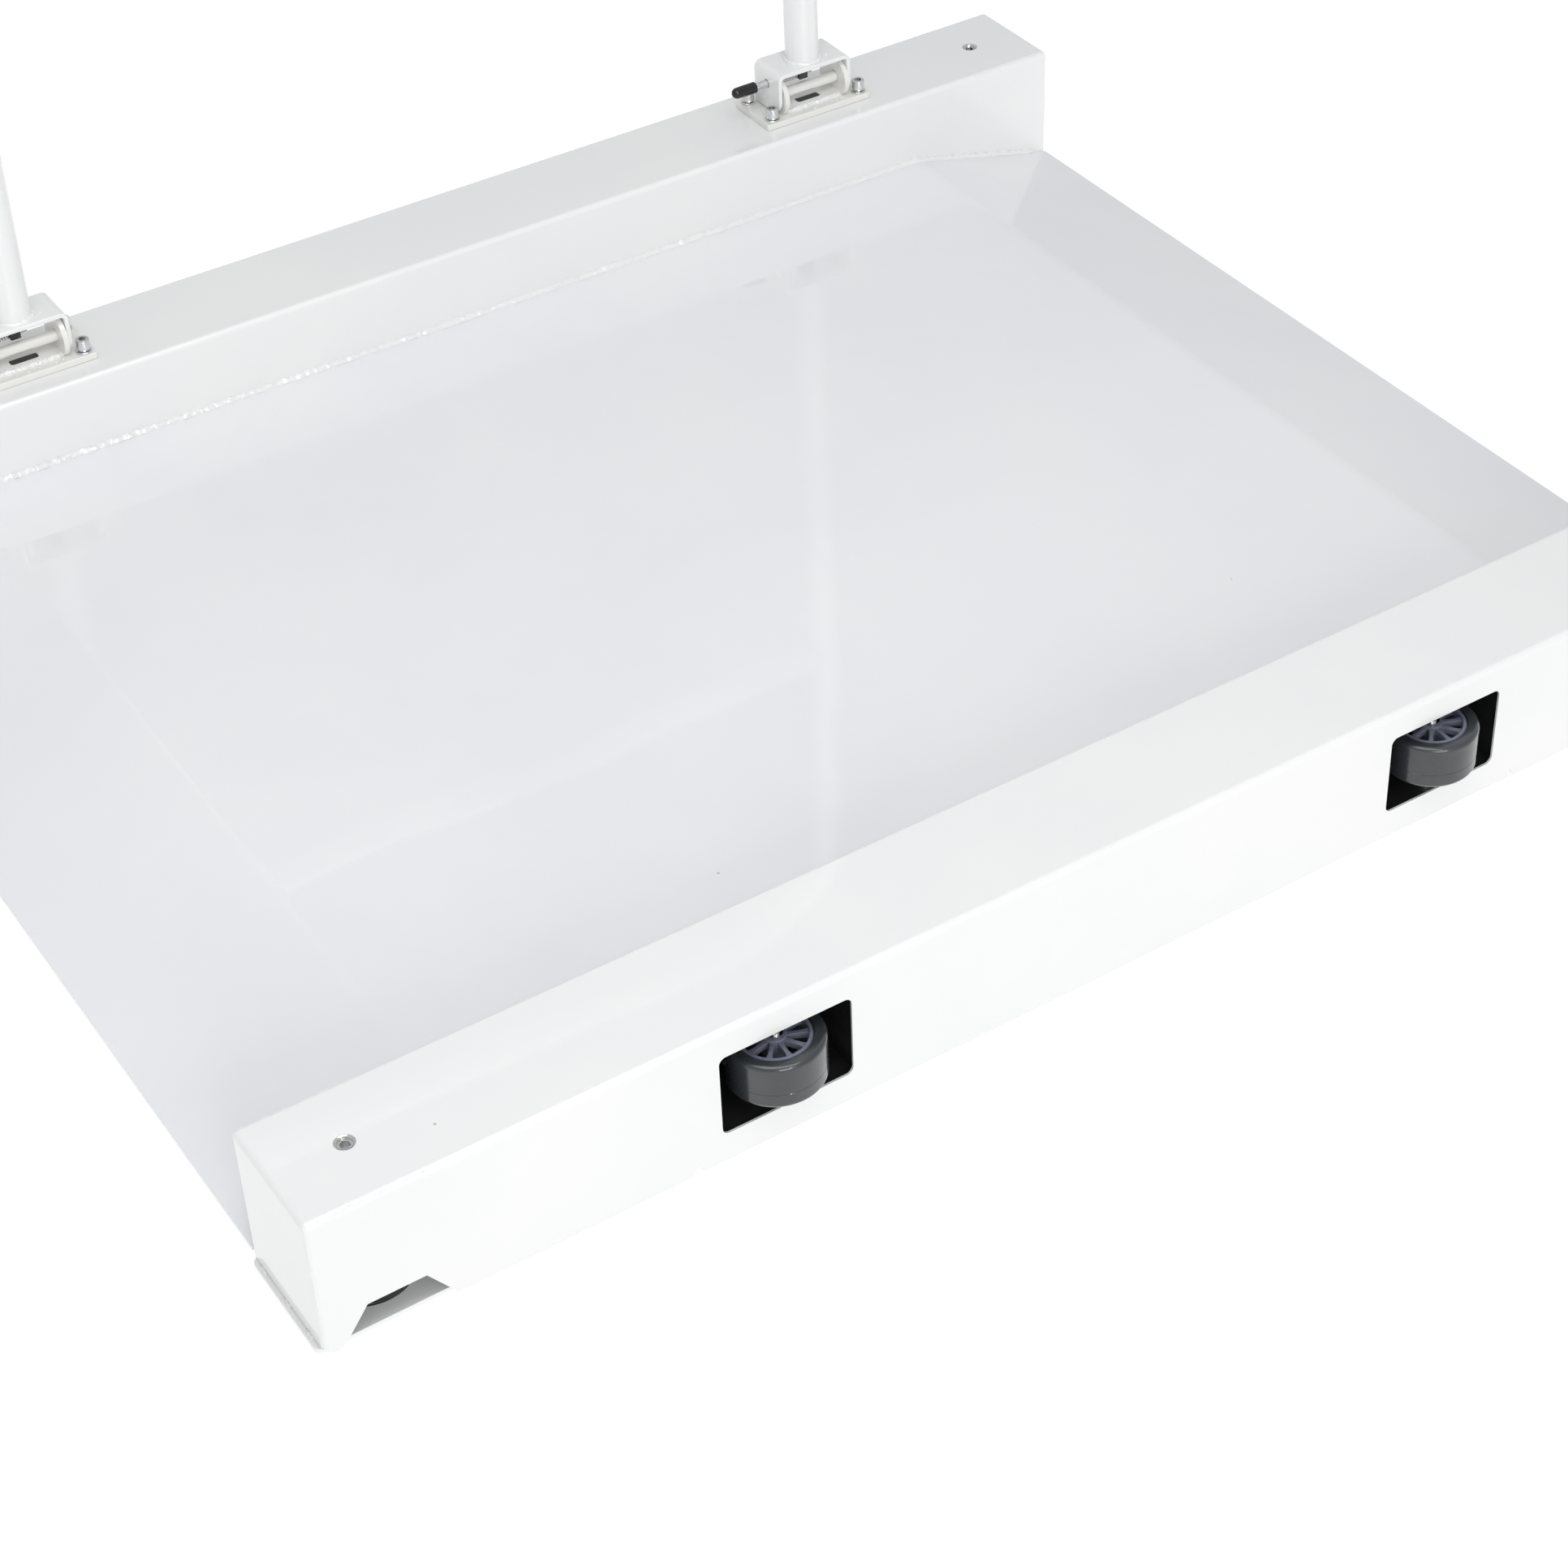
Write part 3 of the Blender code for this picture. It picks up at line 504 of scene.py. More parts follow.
def spatter(middle: Vector, places: Iterable[Point], smallest: float, growth: float) -> list[BMesh]:
    """Small drops of weld metal on a level face.

    Args:
        middle: The point that the places are counted from.
        places: Each drop's (x, y) from there, in millimetres.
        smallest: Radius of the first drop.
        growth: How much larger each next one is.

    Returns:
        The drops.
    """
    drops = []
    for index, (dx, dy) in enumerate(places):
        drop = bmesh.new()
        bmesh.ops.create_icosphere(drop, subdivisions=2, radius=smallest + growth * index,
                                   matrix=Matrix.Translation(middle + Vector((dx, dy, 0.0)) * MM))
        drops.append(drop)
    return drops


# ---------------------------------------------------------------- finishes


class Graph:
    """Adds and wires nodes in one node tree."""

    def __init__(self, tree: NodeTree) -> None:
        """Keeps the tree that nodes are added to."""
        self.tree = tree

    def add(self, kind: str, inputs: dict[str | int, object] | None = None, **settings: object) -> Node:
        """Adds a node.

        Args:
            kind: The node's type.
            inputs: Values or sockets for its inputs, by name or place.
            **settings: The node's own settings.

        Returns:
            The node.
        """
        node = self.tree.nodes.new(kind)
        for name, value in settings.items():
            setattr(node, name, value)
        for key, value in (inputs or {}).items():
            if isinstance(value, NodeSocket):
                self.tree.links.new(value, node.inputs[key])
            else:
                node.inputs[key].default_value = value
        return node

    def math(self, operation: str, a: object, b: object) -> NodeSocket:
        """The result of a sum on two values."""
        return self.add("ShaderNodeMath", {0: a, 1: b}, operation=operation).outputs[0]

    def remap(self, value: NodeSocket, low: object, high: object, to_low: object = 0.0,
              to_high: object = 1.0) -> NodeSocket:
        """A value moved from one range to another, smoothly and clamped.

        Args:
            value: The value.
            low: Start of its range.
            high: End of its range.
            to_low: Start of the new range.
            to_high: End of the new range.

        Returns:
            The new value.
        """
        node = self.add("ShaderNodeMapRange", {"Value": value, "From Min": low, "From Max": high,
                                               "To Min": to_low, "To Max": to_high},
                        interpolation_type="SMOOTHSTEP")
        return node.outputs["Result"]

    def mix(self, share: object, a: object, b: object) -> NodeSocket:
        """A colour between two others.

        Args:
            share: Share of the second colour.
            a: First colour.
            b: Second colour.

        Returns:
            The mixed colour.
        """
        node = self.add("ShaderNodeMix", data_type="RGBA")
        for index, value in ((0, share), (6, a), (7, b)):
            if isinstance(value, NodeSocket):
                self.tree.links.new(value, node.inputs[index])
            else:
                node.inputs[index].default_value = value
        return node.outputs[2]

    def spot(self) -> NodeSocket:
        """The place on the object, in metres."""
        return self.add("ShaderNodeTexCoord").outputs["Object"]


@dataclass(frozen=True)
class GroupSocket:
    """One named input of a node group, with its usual value."""

    name: str
    value: float


class SurfaceGroups:
    """The node groups that more than one finish uses."""

    def __init__(self) -> None:
        """Builds each group once."""
        self.cloudy = self._group("cloudy", (GroupSocket("Scale", 20.0), GroupSocket("Low", 0.0),
                                             GroupSocket("High", 1.0)), "Value", self._cloudy)
        self.specks = self._group("specks", (GroupSocket("Scale", 60.0), GroupSocket("Size", 0.06),
                                             GroupSocket("Share", 0.3)), "Mask", self._specks)
        self.peel = self._group("orange_peel", (GroupSocket("Fine Scale", 700.0), GroupSocket("Fine", 0.35),
                                                GroupSocket("Broad Scale", 9.0), GroupSocket("Broad", 1.0)),
                                "Height", self._peel)
        self.streaks = self._group("streaks", (GroupSocket("Scale", 300.0), GroupSocket("Stretch", 0.04)),
                                   "Value", self._streaks)
        self.edges = self._group("edge_wear", (GroupSocket("Start", 0.53), GroupSocket("End", 0.62),
                                               GroupSocket("Scale", 120.0)), "Mask", self._edges)

    @staticmethod
    def _group(name: str, inputs: Sequence[GroupSocket], output: str,
               body: Callable[[Graph, Node], NodeSocket]) -> NodeTree:
        """Makes a group with float inputs and one float output.

        Args:
            name: The group's name.
            inputs: Its inputs.
            output: Its output's name.
            body: Wires the inside and returns the socket to put out.

        Returns:
            The node tree.
        """
        tree = bpy.data.node_groups.new(name, "ShaderNodeTree")
        for item in inputs:
            made = tree.interface.new_socket(name=item.name, in_out="INPUT", socket_type="NodeSocketFloat")
            made.default_value = item.value
        tree.interface.new_socket(name=output, in_out="OUTPUT", socket_type="NodeSocketFloat")
        graph = Graph(tree)
        source = graph.add("NodeGroupInput")
        graph.add("NodeGroupOutput", {output: body(graph, source)})
        return tree

    @staticmethod
    def _cloudy(graph: Graph, source: Node) -> NodeSocket:
        """Soft patches between a low and a high value.

        Args:
            graph: The group's graph.
            source: The group's input node.

        Returns:
            The patches.
        """
        soft = graph.add("ShaderNodeTexNoise", {"Vector": graph.spot(), "Scale": source.outputs["Scale"],
                                                "Detail": 4.0, "Roughness": 0.6})
        return graph.remap(soft.outputs["Fac"], 0.3, 0.7, source.outputs["Low"], source.outputs["High"])

    @staticmethod
    def _specks(graph: Graph, source: Node) -> NodeSocket:
        """Scattered small round specks, in a share of the cells.

        Args:
            graph: The group's graph.
            source: The group's input node.

        Returns:
            A mask, 1 on a speck.
        """
        cells = graph.add("ShaderNodeTexVoronoi", {"Vector": graph.spot(), "Scale": source.outputs["Scale"]})
        near = graph.math("LESS_THAN", cells.outputs["Distance"], source.outputs["Size"])
        chance = graph.add("ShaderNodeSeparateColor", {"Color": cells.outputs["Color"]}).outputs[0]
        return graph.math("MULTIPLY", near, graph.math("LESS_THAN", chance, source.outputs["Share"]))

    @staticmethod
    def _peel(graph: Graph, source: Node) -> NodeSocket:
        """The fine orange peel of sprayed paint over sheet that is never quite flat.

        Args:
            graph: The group's graph.
            source: The group's input node.

        Returns:
            The height.
        """
        spot = graph.spot()
        fine = graph.add("ShaderNodeTexNoise", {"Vector": spot, "Scale": source.outputs["Fine Scale"],
                                                "Detail": 1.0})
        broad = graph.add("ShaderNodeTexNoise", {"Vector": spot, "Scale": source.outputs["Broad Scale"],
                                                 "Detail": 1.0})
        return graph.math("ADD", graph.math("MULTIPLY", fine.outputs["Fac"], source.outputs["Fine"]),
                          graph.math("MULTIPLY", broad.outputs["Fac"], source.outputs["Broad"]))

    @staticmethod
    def _streaks(graph: Graph, source: Node) -> NodeSocket:
        """Fine lines along X, as on drawn or machined metal.

        Args:
            graph: The group's graph.
            source: The group's input node.

        Returns:
            The lines.
        """
        size = graph.add("ShaderNodeCombineXYZ", {0: source.outputs["Stretch"], 1: 1.0, 2: 1.0})
        squeezed = graph.add("ShaderNodeVectorMath", {0: graph.spot(), 1: size.outputs[0]},
                             operation="MULTIPLY")
        return graph.add("ShaderNodeTexNoise", {"Vector": squeezed.outputs[0],
                                                "Scale": source.outputs["Scale"],
                                                "Detail": 3.0}).outputs["Fac"]

    @staticmethod
    def _edges(graph: Graph, source: Node) -> NodeSocket:
        """Broken wear along outer edges.

        Args:
            graph: The group's graph.
            source: The group's input node.

        Returns:
            A mask, 1 where worn.
        """
        sharp = graph.add("ShaderNodeNewGeometry").outputs["Pointiness"]
        worn = graph.remap(sharp, source.outputs["Start"], source.outputs["End"])
        broken = graph.add("ShaderNodeTexNoise", {"Vector": graph.spot(), "Scale": source.outputs["Scale"],
                                                  "Detail": 3.0})
        return graph.math("MULTIPLY", worn, graph.remap(broken.outputs["Fac"], 0.4, 0.65))

    def use(self, graph: Graph, tree: NodeTree, **values: float) -> NodeSocket:
        """Places a group in a material.

        Args:
            graph: The material's graph.
            tree: The group.
            **values: Its inputs, with _ for each space in a name.

        Returns:
            The group's output.
        """
        node = graph.add("ShaderNodeGroup", node_tree=tree)
        for name, value in values.items():
            node.inputs[name.replace("_", " ")].default_value = value
        return node.outputs[0]


Colour = tuple[float, float, float]


@dataclass(frozen=True)
class Finish:
    """One finish: what every finish has, and a method for what varies over it."""

    name: str
    colour: Colour
    rough: Point
    metal: float = 0.0
    coat: float = 0.0
    coat_rough: float = 0.05
    specular: float = 0.5
    relief: float = 0.0002
    rough_scale: float = 45.0

    def shade(self, colour: Colour) -> tuple[float, float, float, float]:
        """A colour with full alpha."""
        return (*colour, 1.0)

    def pattern(self, graph: Graph, groups: SurfaceGroups) -> tuple[NodeSocket, NodeSocket]:
        """The varying colour and the height of the surface.

        Args:
            graph: The material's graph.
            groups: The shared node groups.

        Returns:
            A colour socket and a height socket.
        """
        raise NotImplementedError

    def build(self, groups: SurfaceGroups) -> Material:
        """Makes the material.

        Args:
            groups: The shared node groups.

        Returns:
            The material.
        """
        made = bpy.data.materials.new(self.name)
        made.use_nodes = True
        graph = Graph(made.node_tree)
        shader = made.node_tree.nodes["Principled BSDF"]
        shader.inputs["Metallic"].default_value = self.metal
        shader.inputs["Coat Weight"].default_value = self.coat
        shader.inputs["Coat Roughness"].default_value = self.coat_rough
        shader.inputs["Specular IOR Level"].default_value = self.specular
        colour, height = self.pattern(graph, groups)
        low, high = self.rough
        rough = groups.use(graph, groups.cloudy, Scale=self.rough_scale, Low=low, High=high)
        bump = graph.add("ShaderNodeBump", {"Height": height, "Strength": 1.0, "Distance": self.relief})
        for value, name in ((colour, "Base Color"), (rough, "Roughness"), (bump.outputs[0], "Normal")):
            made.node_tree.links.new(value, shader.inputs[name])
        if self.coat:
            made.node_tree.links.new(bump.outputs[0], shader.inputs["Coat Normal"])
        return made


@dataclass(frozen=True)
class PaintFinish(Finish):
    """Gloss paint on sheet steel: orange peel, faint patches, and specks under the paint."""

    rough_scale: float = 4.0
    fine: float = 0.005
    broad: float = 1.0
    dust: float = 0.55
    dust_colour: Colour = (0.22, 0.21, 0.2)
    cooler: Colour = (0.965, 0.975, 0.985)

    def pattern(self, graph: Graph, groups: SurfaceGroups) -> tuple[NodeSocket, NodeSocket]:
        """Off-white with faint patches and a few specks.

        Args:
            graph: The material's graph.
            groups: The shared node groups.

        Returns:
            A colour socket and a height socket.
        """
        patches = groups.use(graph, groups.cloudy, Scale=6.0)
        cooler = tuple(part * share for part, share in zip(self.colour, self.cooler))
        colour = graph.mix(patches, self.shade(cooler), self.shade(self.colour))
        specks = groups.use(graph, groups.specks, Scale=15.0, Size=0.014, Share=0.16)
        dust = graph.math("MULTIPLY", specks, self.dust)
        colour = graph.mix(dust, colour, self.shade(self.dust_colour))
        return colour, groups.use(graph, groups.peel, Fine_Scale=420.0, Fine=self.fine, Broad_Scale=7.0,
                                  Broad=self.broad)


@dataclass(frozen=True)
class MetalFinish(Finish):
    """Bare or plated metal with drawn lines, and cooler and warmer patches."""

    warm: Colour = (0.66, 0.62, 0.54)
    lines: float = 500.0
    line_depth: float = 0.4
    darker: float = 0.72

    def pattern(self, graph: Graph, groups: SurfaceGroups) -> tuple[NodeSocket, NodeSocket]:
        """Plating that turns warmer in patches, over fine lines.

        Args:
            graph: The material's graph.
            groups: The shared node groups.

        Returns:
            A colour socket and a height socket.
        """
        patches = groups.use(graph, groups.cloudy, Scale=90.0, High=0.55)
        lines = groups.use(graph, groups.streaks, Scale=self.lines)
        colour = graph.mix(patches, self.shade(self.colour), self.shade(self.warm))
        dark = tuple(part * self.darker for part in self.colour)
        colour = graph.mix(graph.remap(lines, 0.55, 0.75, 0.0, self.line_depth), colour, self.shade(dark))
        return colour, lines


@dataclass(frozen=True)
class MouldedFinish(Finish):
    """Moulded plastic or rubber: fine grain, pale scuffs on the edges, a little dust."""

    scuff: Colour = (0.3, 0.3, 0.31)
    grain: float = 900.0
    wear: float = 0.35
    dust: float = 0.3
    darker: float = 0.78

    def pattern(self, graph: Graph, groups: SurfaceGroups) -> tuple[NodeSocket, NodeSocket]:
        """A dark colour with softer patches, dust and scuffed edges.

        Args:
            graph: The material's graph.
            groups: The shared node groups.

        Returns:
            A colour socket and a height socket.
        """
        patches = groups.use(graph, groups.cloudy, Scale=35.0)
        darker = tuple(part * self.darker for part in self.colour)
        colour = graph.mix(patches, self.shade(darker), self.shade(self.colour))
        worn = groups.use(graph, groups.edges, Start=0.52, End=0.64, Scale=240.0)
        colour = graph.mix(graph.math("MULTIPLY", worn, self.wear), colour, self.shade(self.scuff))
        dust = groups.use(graph, groups.specks, Scale=420.0, Size=0.1, Share=0.12)
        colour = graph.mix(graph.math("MULTIPLY", dust, self.dust), colour, self.shade(self.scuff))
        return colour, groups.use(graph, groups.peel, Fine_Scale=self.grain, Fine=1.0, Broad_Scale=60.0,
                                  Broad=0.6)


@dataclass(frozen=True)
class Looks:
    """Every finish of the object, built."""

    paint: Material
    deck: Material
    cream: Material
    bead: Material
    zinc: Material
    bright: Material
    alloy: Material
    rubber: Material
    cap: Material
    black: Material
    hub: Material
    tyre: Material
    spring: Material
    potting: Material

    @classmethod
    def build(cls) -> "Looks":
        """Builds every finish once.

        Returns:
            The finishes.
        """
        groups = SurfaceGroups()
        white = (0.82, 0.822, 0.812)
        return cls(
            paint=PaintFinish("gloss_white", white, (0.31, 0.35), coat=1.0, coat_rough=0.025,
                              relief=0.0008).build(groups),
            # The deck gets a copy of the white paint that is cooler in tint than the beams' paint: painted
            # shade for the cooler light that falls on the level deck.
            deck=PaintFinish("gloss_white_deck_cool_shade", (0.805, 0.81, 0.822), (0.31, 0.35), coat=1.0,
                             coat_rough=0.03, relief=0.0008).build(groups),
            cream=PaintFinish("warm_white", (0.79, 0.78, 0.745), (0.31, 0.35), coat=0.9, coat_rough=0.04,
                              broad=0.1, relief=0.0008).build(groups),
            bead=PaintFinish("weld_white", (0.80, 0.805, 0.80), (0.1, 0.18), coat=1.0, coat_rough=0.03,
                             fine=0.4, broad=0.0, relief=0.0005).build(groups),
            zinc=MetalFinish("bright_zinc", (0.74, 0.76, 0.79), (0.14, 0.26), metal=1.0,
                             relief=0.00003).build(groups),
            bright=MetalFinish("chrome_ring", (0.8, 0.82, 0.84), (0.05, 0.12), metal=1.0,
                               relief=0.00001).build(groups),
            alloy=MetalFinish("milled_alloy", (0.76, 0.77, 0.79), (0.26, 0.42), metal=1.0,
                              warm=(0.7, 0.7, 0.7), lines=900.0, relief=0.00004).build(groups),
            rubber=MouldedFinish("foot_rubber", (0.022, 0.022, 0.023), (0.5, 0.72), scuff=(0.12, 0.12, 0.12),
                                 relief=0.0001).build(groups),
            cap=MouldedFinish("vinyl_cap", (0.012, 0.012, 0.013), (0.1, 0.24), scuff=(0.06, 0.06, 0.06),
                              relief=0.00005, wear=0.1).build(groups),
            # Black enamel for the junction box and the latch guide blocks; the same black is painted shade in
            # the hinge slots and, in part, in the wheel housings.
            black=MouldedFinish("black_enamel_and_painted_shade", (0.014, 0.014, 0.015), (0.32, 0.5), scuff=(0.1, 0.1, 0.1),
                                grain=600.0, relief=0.00006).build(groups),
            hub=MouldedFinish("hub_blue_grey", (0.195, 0.21, 0.275), (0.3, 0.42), scuff=(0.34, 0.35, 0.4),
                              relief=0.00005, wear=0.25).build(groups),
            tyre=MouldedFinish("tyre_grey", (0.04, 0.045, 0.05), (0.2, 0.32), scuff=(0.2, 0.2, 0.2),
                               grain=350.0, relief=0.00003, wear=0.1, coat=0.5,
                               coat_rough=0.04).build(groups),
            spring=MetalFinish("spring_wire", (0.62, 0.62, 0.64), (0.18, 0.3), metal=1.0,
                               relief=0.00002).build(groups),
            potting=MouldedFinish("potting_grey", (0.09, 0.1, 0.1), (0.4, 0.6), relief=0.00008).build(groups),
        )


# ---------------------------------------------------------------- beams and deck


@dataclass
class SideBeam:
    """A folded beam, open below, with its windows, foot cut-outs, notches and access holes."""

    place: str
    outward: int
    looks: Looks
    windows: bool
    wall: float = 3 * MM
    bend: float = 4 * MM
    lip: float = 22 * MM
    foot_from_end: float = 48 * MM
    hole: float = 6.4 * MM
    cut_foot: float = 72 * MM
    cut_top: float = 37 * MM
    cut_height: float = 24.5 * MM
    tip: float = 8 * MM
    notch_from_end: float = 243 * MM
    notch_width: float = 9 * MM
    notch_height: float = 6 * MM
    window_low: float = 21 * MM
    window_corner: float = 5 * MM
    window_margin: float = 4 * MM
    plate: float = 3 * MM
    thinned: float = 2.5 * MM
    liner_wall: float = 1.5 * MM
    liner_depth: float = 3 * MM
    deck_bead: float = 3.2 * MM
    bead_pitch: float = 1.2 * MM
    bead_from_end: float = 6 * MM
    corner_bead: float = 0.95 * MM
    corner_along: float = 75 * MM
    corner_down: float = 70 * MM

    def __post_init__(self) -> None:
        """Reads the beam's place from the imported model."""
        self.low, self.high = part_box(f"side_beam_{self.place}")
        self.outer = self.high.y if self.outward > 0 else self.low.y
        self.middle = (self.low.y + self.high.y) / 2
        self.behind = sorted((self.outer - self.outward * self.wall / 2,
                              self.outer - self.outward * (self.wall + PAST / 2)))
        self.front = sorted((self.outer + self.outward * self.wall,
                             self.outer - self.outward * (self.wall + PAST / 2)))

    def foot_x(self, side: int) -> float:
        """The middle of the levelling foot at one end."""
        return side * (self.high.x - self.foot_from_end)

    def inside(self, depth: float) -> float:
        """A y inside the beam, at a depth from its outer face."""
        return self.outer - self.outward * depth

    def shell(self) -> BMesh:
        """The folded sheet before anything is cut from it.

        Returns:
            The uncut beam.
        """
        foot = self.low.z
        body = bevelled(block(self.low, self.high),
                        lambda edge: any(vert.co.z > foot + PAST for vert in edge.verts), self.bend, 10)
        under = foot - 2 * self.wall
        hollow = bevelled(block((self.low.x + self.wall, self.low.y + self.wall, under),
                                (self.high.x - self.wall, self.high.y - self.wall, self.high.z - self.wall)),
                          lambda edge: any(vert.co.z > under + PAST for vert in edge.verts),
                          self.bend - self.wall, 8)
        hollowed = carved(body, cuts=[hollow])
        end = self.high.x - self.notch_from_end - self.notch_width / 2
        lip = block((-end, self.inside(self.wall / 2), foot), (end, self.inside(self.lip), foot + self.wall))
        return carved(hollowed, joins=[lip])

    def end_cuts(self, side: int) -> list[BMesh]:
        """Everything that is cut at one end of the beam.

        Args:
            side: -1 for the left end, 1 for the right end.

        Returns:
            The cutters.
        """
        foot, under = self.low.z, self.low.z - PAST
        x, end = self.foot_x(side), side * self.high.x
        notch = side * (self.high.x - self.notch_from_end)
        slant = math.atan2(self.cut_height, (self.cut_foot - self.cut_top) / 2)
        tip_x, tip_z = end - side * self.tip, foot + self.tip
        curve = [(tip_x + side * self.tip * math.cos(turn), tip_z - self.tip * math.sin(turn))
                 for turn in (step * (math.pi - (QUARTER - slant)) / 14 for step in range(15))]
        tip = [(end + side * PAST, tip_z)] + curve
        tip += [(curve[-1][0] - side * PAST, under), (end + side * PAST, under)]
        cuts = [
            prism([(x - self.cut_foot / 2, under), (x + self.cut_foot / 2, under),
                   (x + self.cut_foot / 2, foot), (x + self.cut_top / 2, foot + self.cut_height),
                   (x - self.cut_top / 2, foot + self.cut_height), (x - self.cut_foot / 2, foot)],
                  Axis.Y, *self.front),
            prism([(notch - self.notch_width / 2, under), (notch + self.notch_width / 2, under),
                   (notch + PAST / 4, foot + self.notch_height),
                   (notch - PAST / 4, foot + self.notch_height)],
                  Axis.Y, *self.front),
            prism(tip, Axis.Y, *self.front),
            cylinder(self.hole, self.high.z - 2 * self.wall, self.high.z + PAST, (x, self.middle, 0)),
            block((end - side * (self.bend + PAST / 2), self.inside(self.wall + PAST / 5), under),
                  (end + side * PAST, self.outer - self.outward * (self.high.y - self.low.y - self.wall),
                   foot + self.plate + PAST / 2)),
        ]
        if self.windows:
            label = next(name for name, way in SIDES if way == side)
            housing_low, housing_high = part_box(f"wheel_housing_{label}")
            margin = self.window_margin
            for grown, reach in ((0.0, self.front), (self.thinned, self.behind)):
                low = (housing_low.x + margin - grown, foot + self.window_low - grown)
                high = (housing_high.x - margin + grown, housing_high.z - margin + grown)
                cuts.append(prism(rounded(low, high, self.window_corner + grown), Axis.Y, *reach))
        return cuts

    def liners(self) -> BMesh:
        """The bright rings in the two access holes.

        Returns:
            Both rings.
        """
        top = self.high.z
        outer, inner = self.hole - 0.05 * MM, self.hole - self.liner_wall
        profile = [(inner, top - self.liner_depth), (outer, top - self.liner_depth), (outer, top - 0.4 * MM),
                   (outer - 0.4 * MM, top - 0.1 * MM), (inner + 0.4 * MM, top - 0.4 * MM),
                   (inner, top - 0.8 * MM)]
        return together(*(turned(profile, (self.foot_x(side), self.middle, 0)) for _, side in SIDES))

    def deck_weld(self, deck: "Deck") -> BMesh:
        """The bead between the deck and this beam.

        Args:
            deck: The deck that it joins.

        Returns:
            The bead, lumpier towards the left end.
        """
        y = self.low.y if self.outward > 0 else self.high.y
        length = int((2 * self.high.x - 2 * self.bead_from_end) / self.bead_pitch)
        places = [self.low.x + self.bead_from_end + step * self.bead_pitch for step in range(length)]
        path = [Vector((x, y, deck.height(x) + 0.2 * MM)) for x in places]

        def reach(share: float, turn: float) -> float:
            """The bead's radius at one place.

            Args:
                share: Share of the bead's length.
                turn: Angle round the bead.

            Returns:
                The radius.
            """
            x = path[min(length - 1, round(share * (length - 1)))].x
            rough = 0.2 + 0.4 * (1.0 - min(1.0, max(0.0, (x + 0.45) / 0.35)))
            fine = noise.noise(Vector((x / (2.6 * MM), math.cos(turn), math.sin(turn) + self.outward)))
            blob = max(0.0, noise.noise(Vector((x / (6 * MM), 4.0, self.outward))))
            broad = noise.noise(Vector((x / (40 * MM), 9.0, self.outward)))
            ends = min(1.0, 0.1 + min(share, 1.0 - share) * 90)
            return self.deck_bead * ends * (1.0 + rough * (fine + 1.3 * blob) + 0.3 * broad)

        return swept(path, reach, UP, 9)

    def corner_welds(self) -> BMesh:
        """The ground-down welds along the folds near both ends.

        Returns:
            The beads.
        """
        beads = []
        sink = 0.293 * self.bend + 0.45 * MM
        for _, side in SIDES:
            for y, inward in ((self.low.y, 1), (self.high.y, -1)):
                spot = Vector((side * (self.high.x - sink), y + inward * sink, self.high.z - sink))
                along = spot - Vector((side * self.corner_along, 0, 0))
                down = spot - Vector((0, 0, self.corner_down))
                for seed, end in enumerate((along, down)):
                    beads.append(weld(straight(spot, end, self.bead_pitch), self.corner_bead,
                                      Vector((0.3, 1, 0.2)), lumps=0.28, seed=seed + 3 * y + side))
        return together(*beads)

    def build(self, deck: "Deck") -> None:
        """Builds the beam, its hole liners and the weld that joins it to the deck.

        Args:
            deck: The deck that the beam is welded to.
        """
        cuts = [cut for _, side in SIDES for cut in self.end_cuts(side)]
        node = f"side_beam_{self.place}"
        platform = Body.PLATFORM.value
        piece(f"{node}_sheet", carved(self.shell(), cuts=cuts), self.looks.paint, platform,
              [node], edge=0.35 * MM)
        piece(f"hole_liners_{self.place}", self.liners(), self.looks.bright, platform)
        piece(f"corner_welds_{self.place}", self.corner_welds(), self.looks.paint, platform)
        piece(f"deck_weld_{self.place}", self.deck_weld(deck), self.looks.bead, platform)


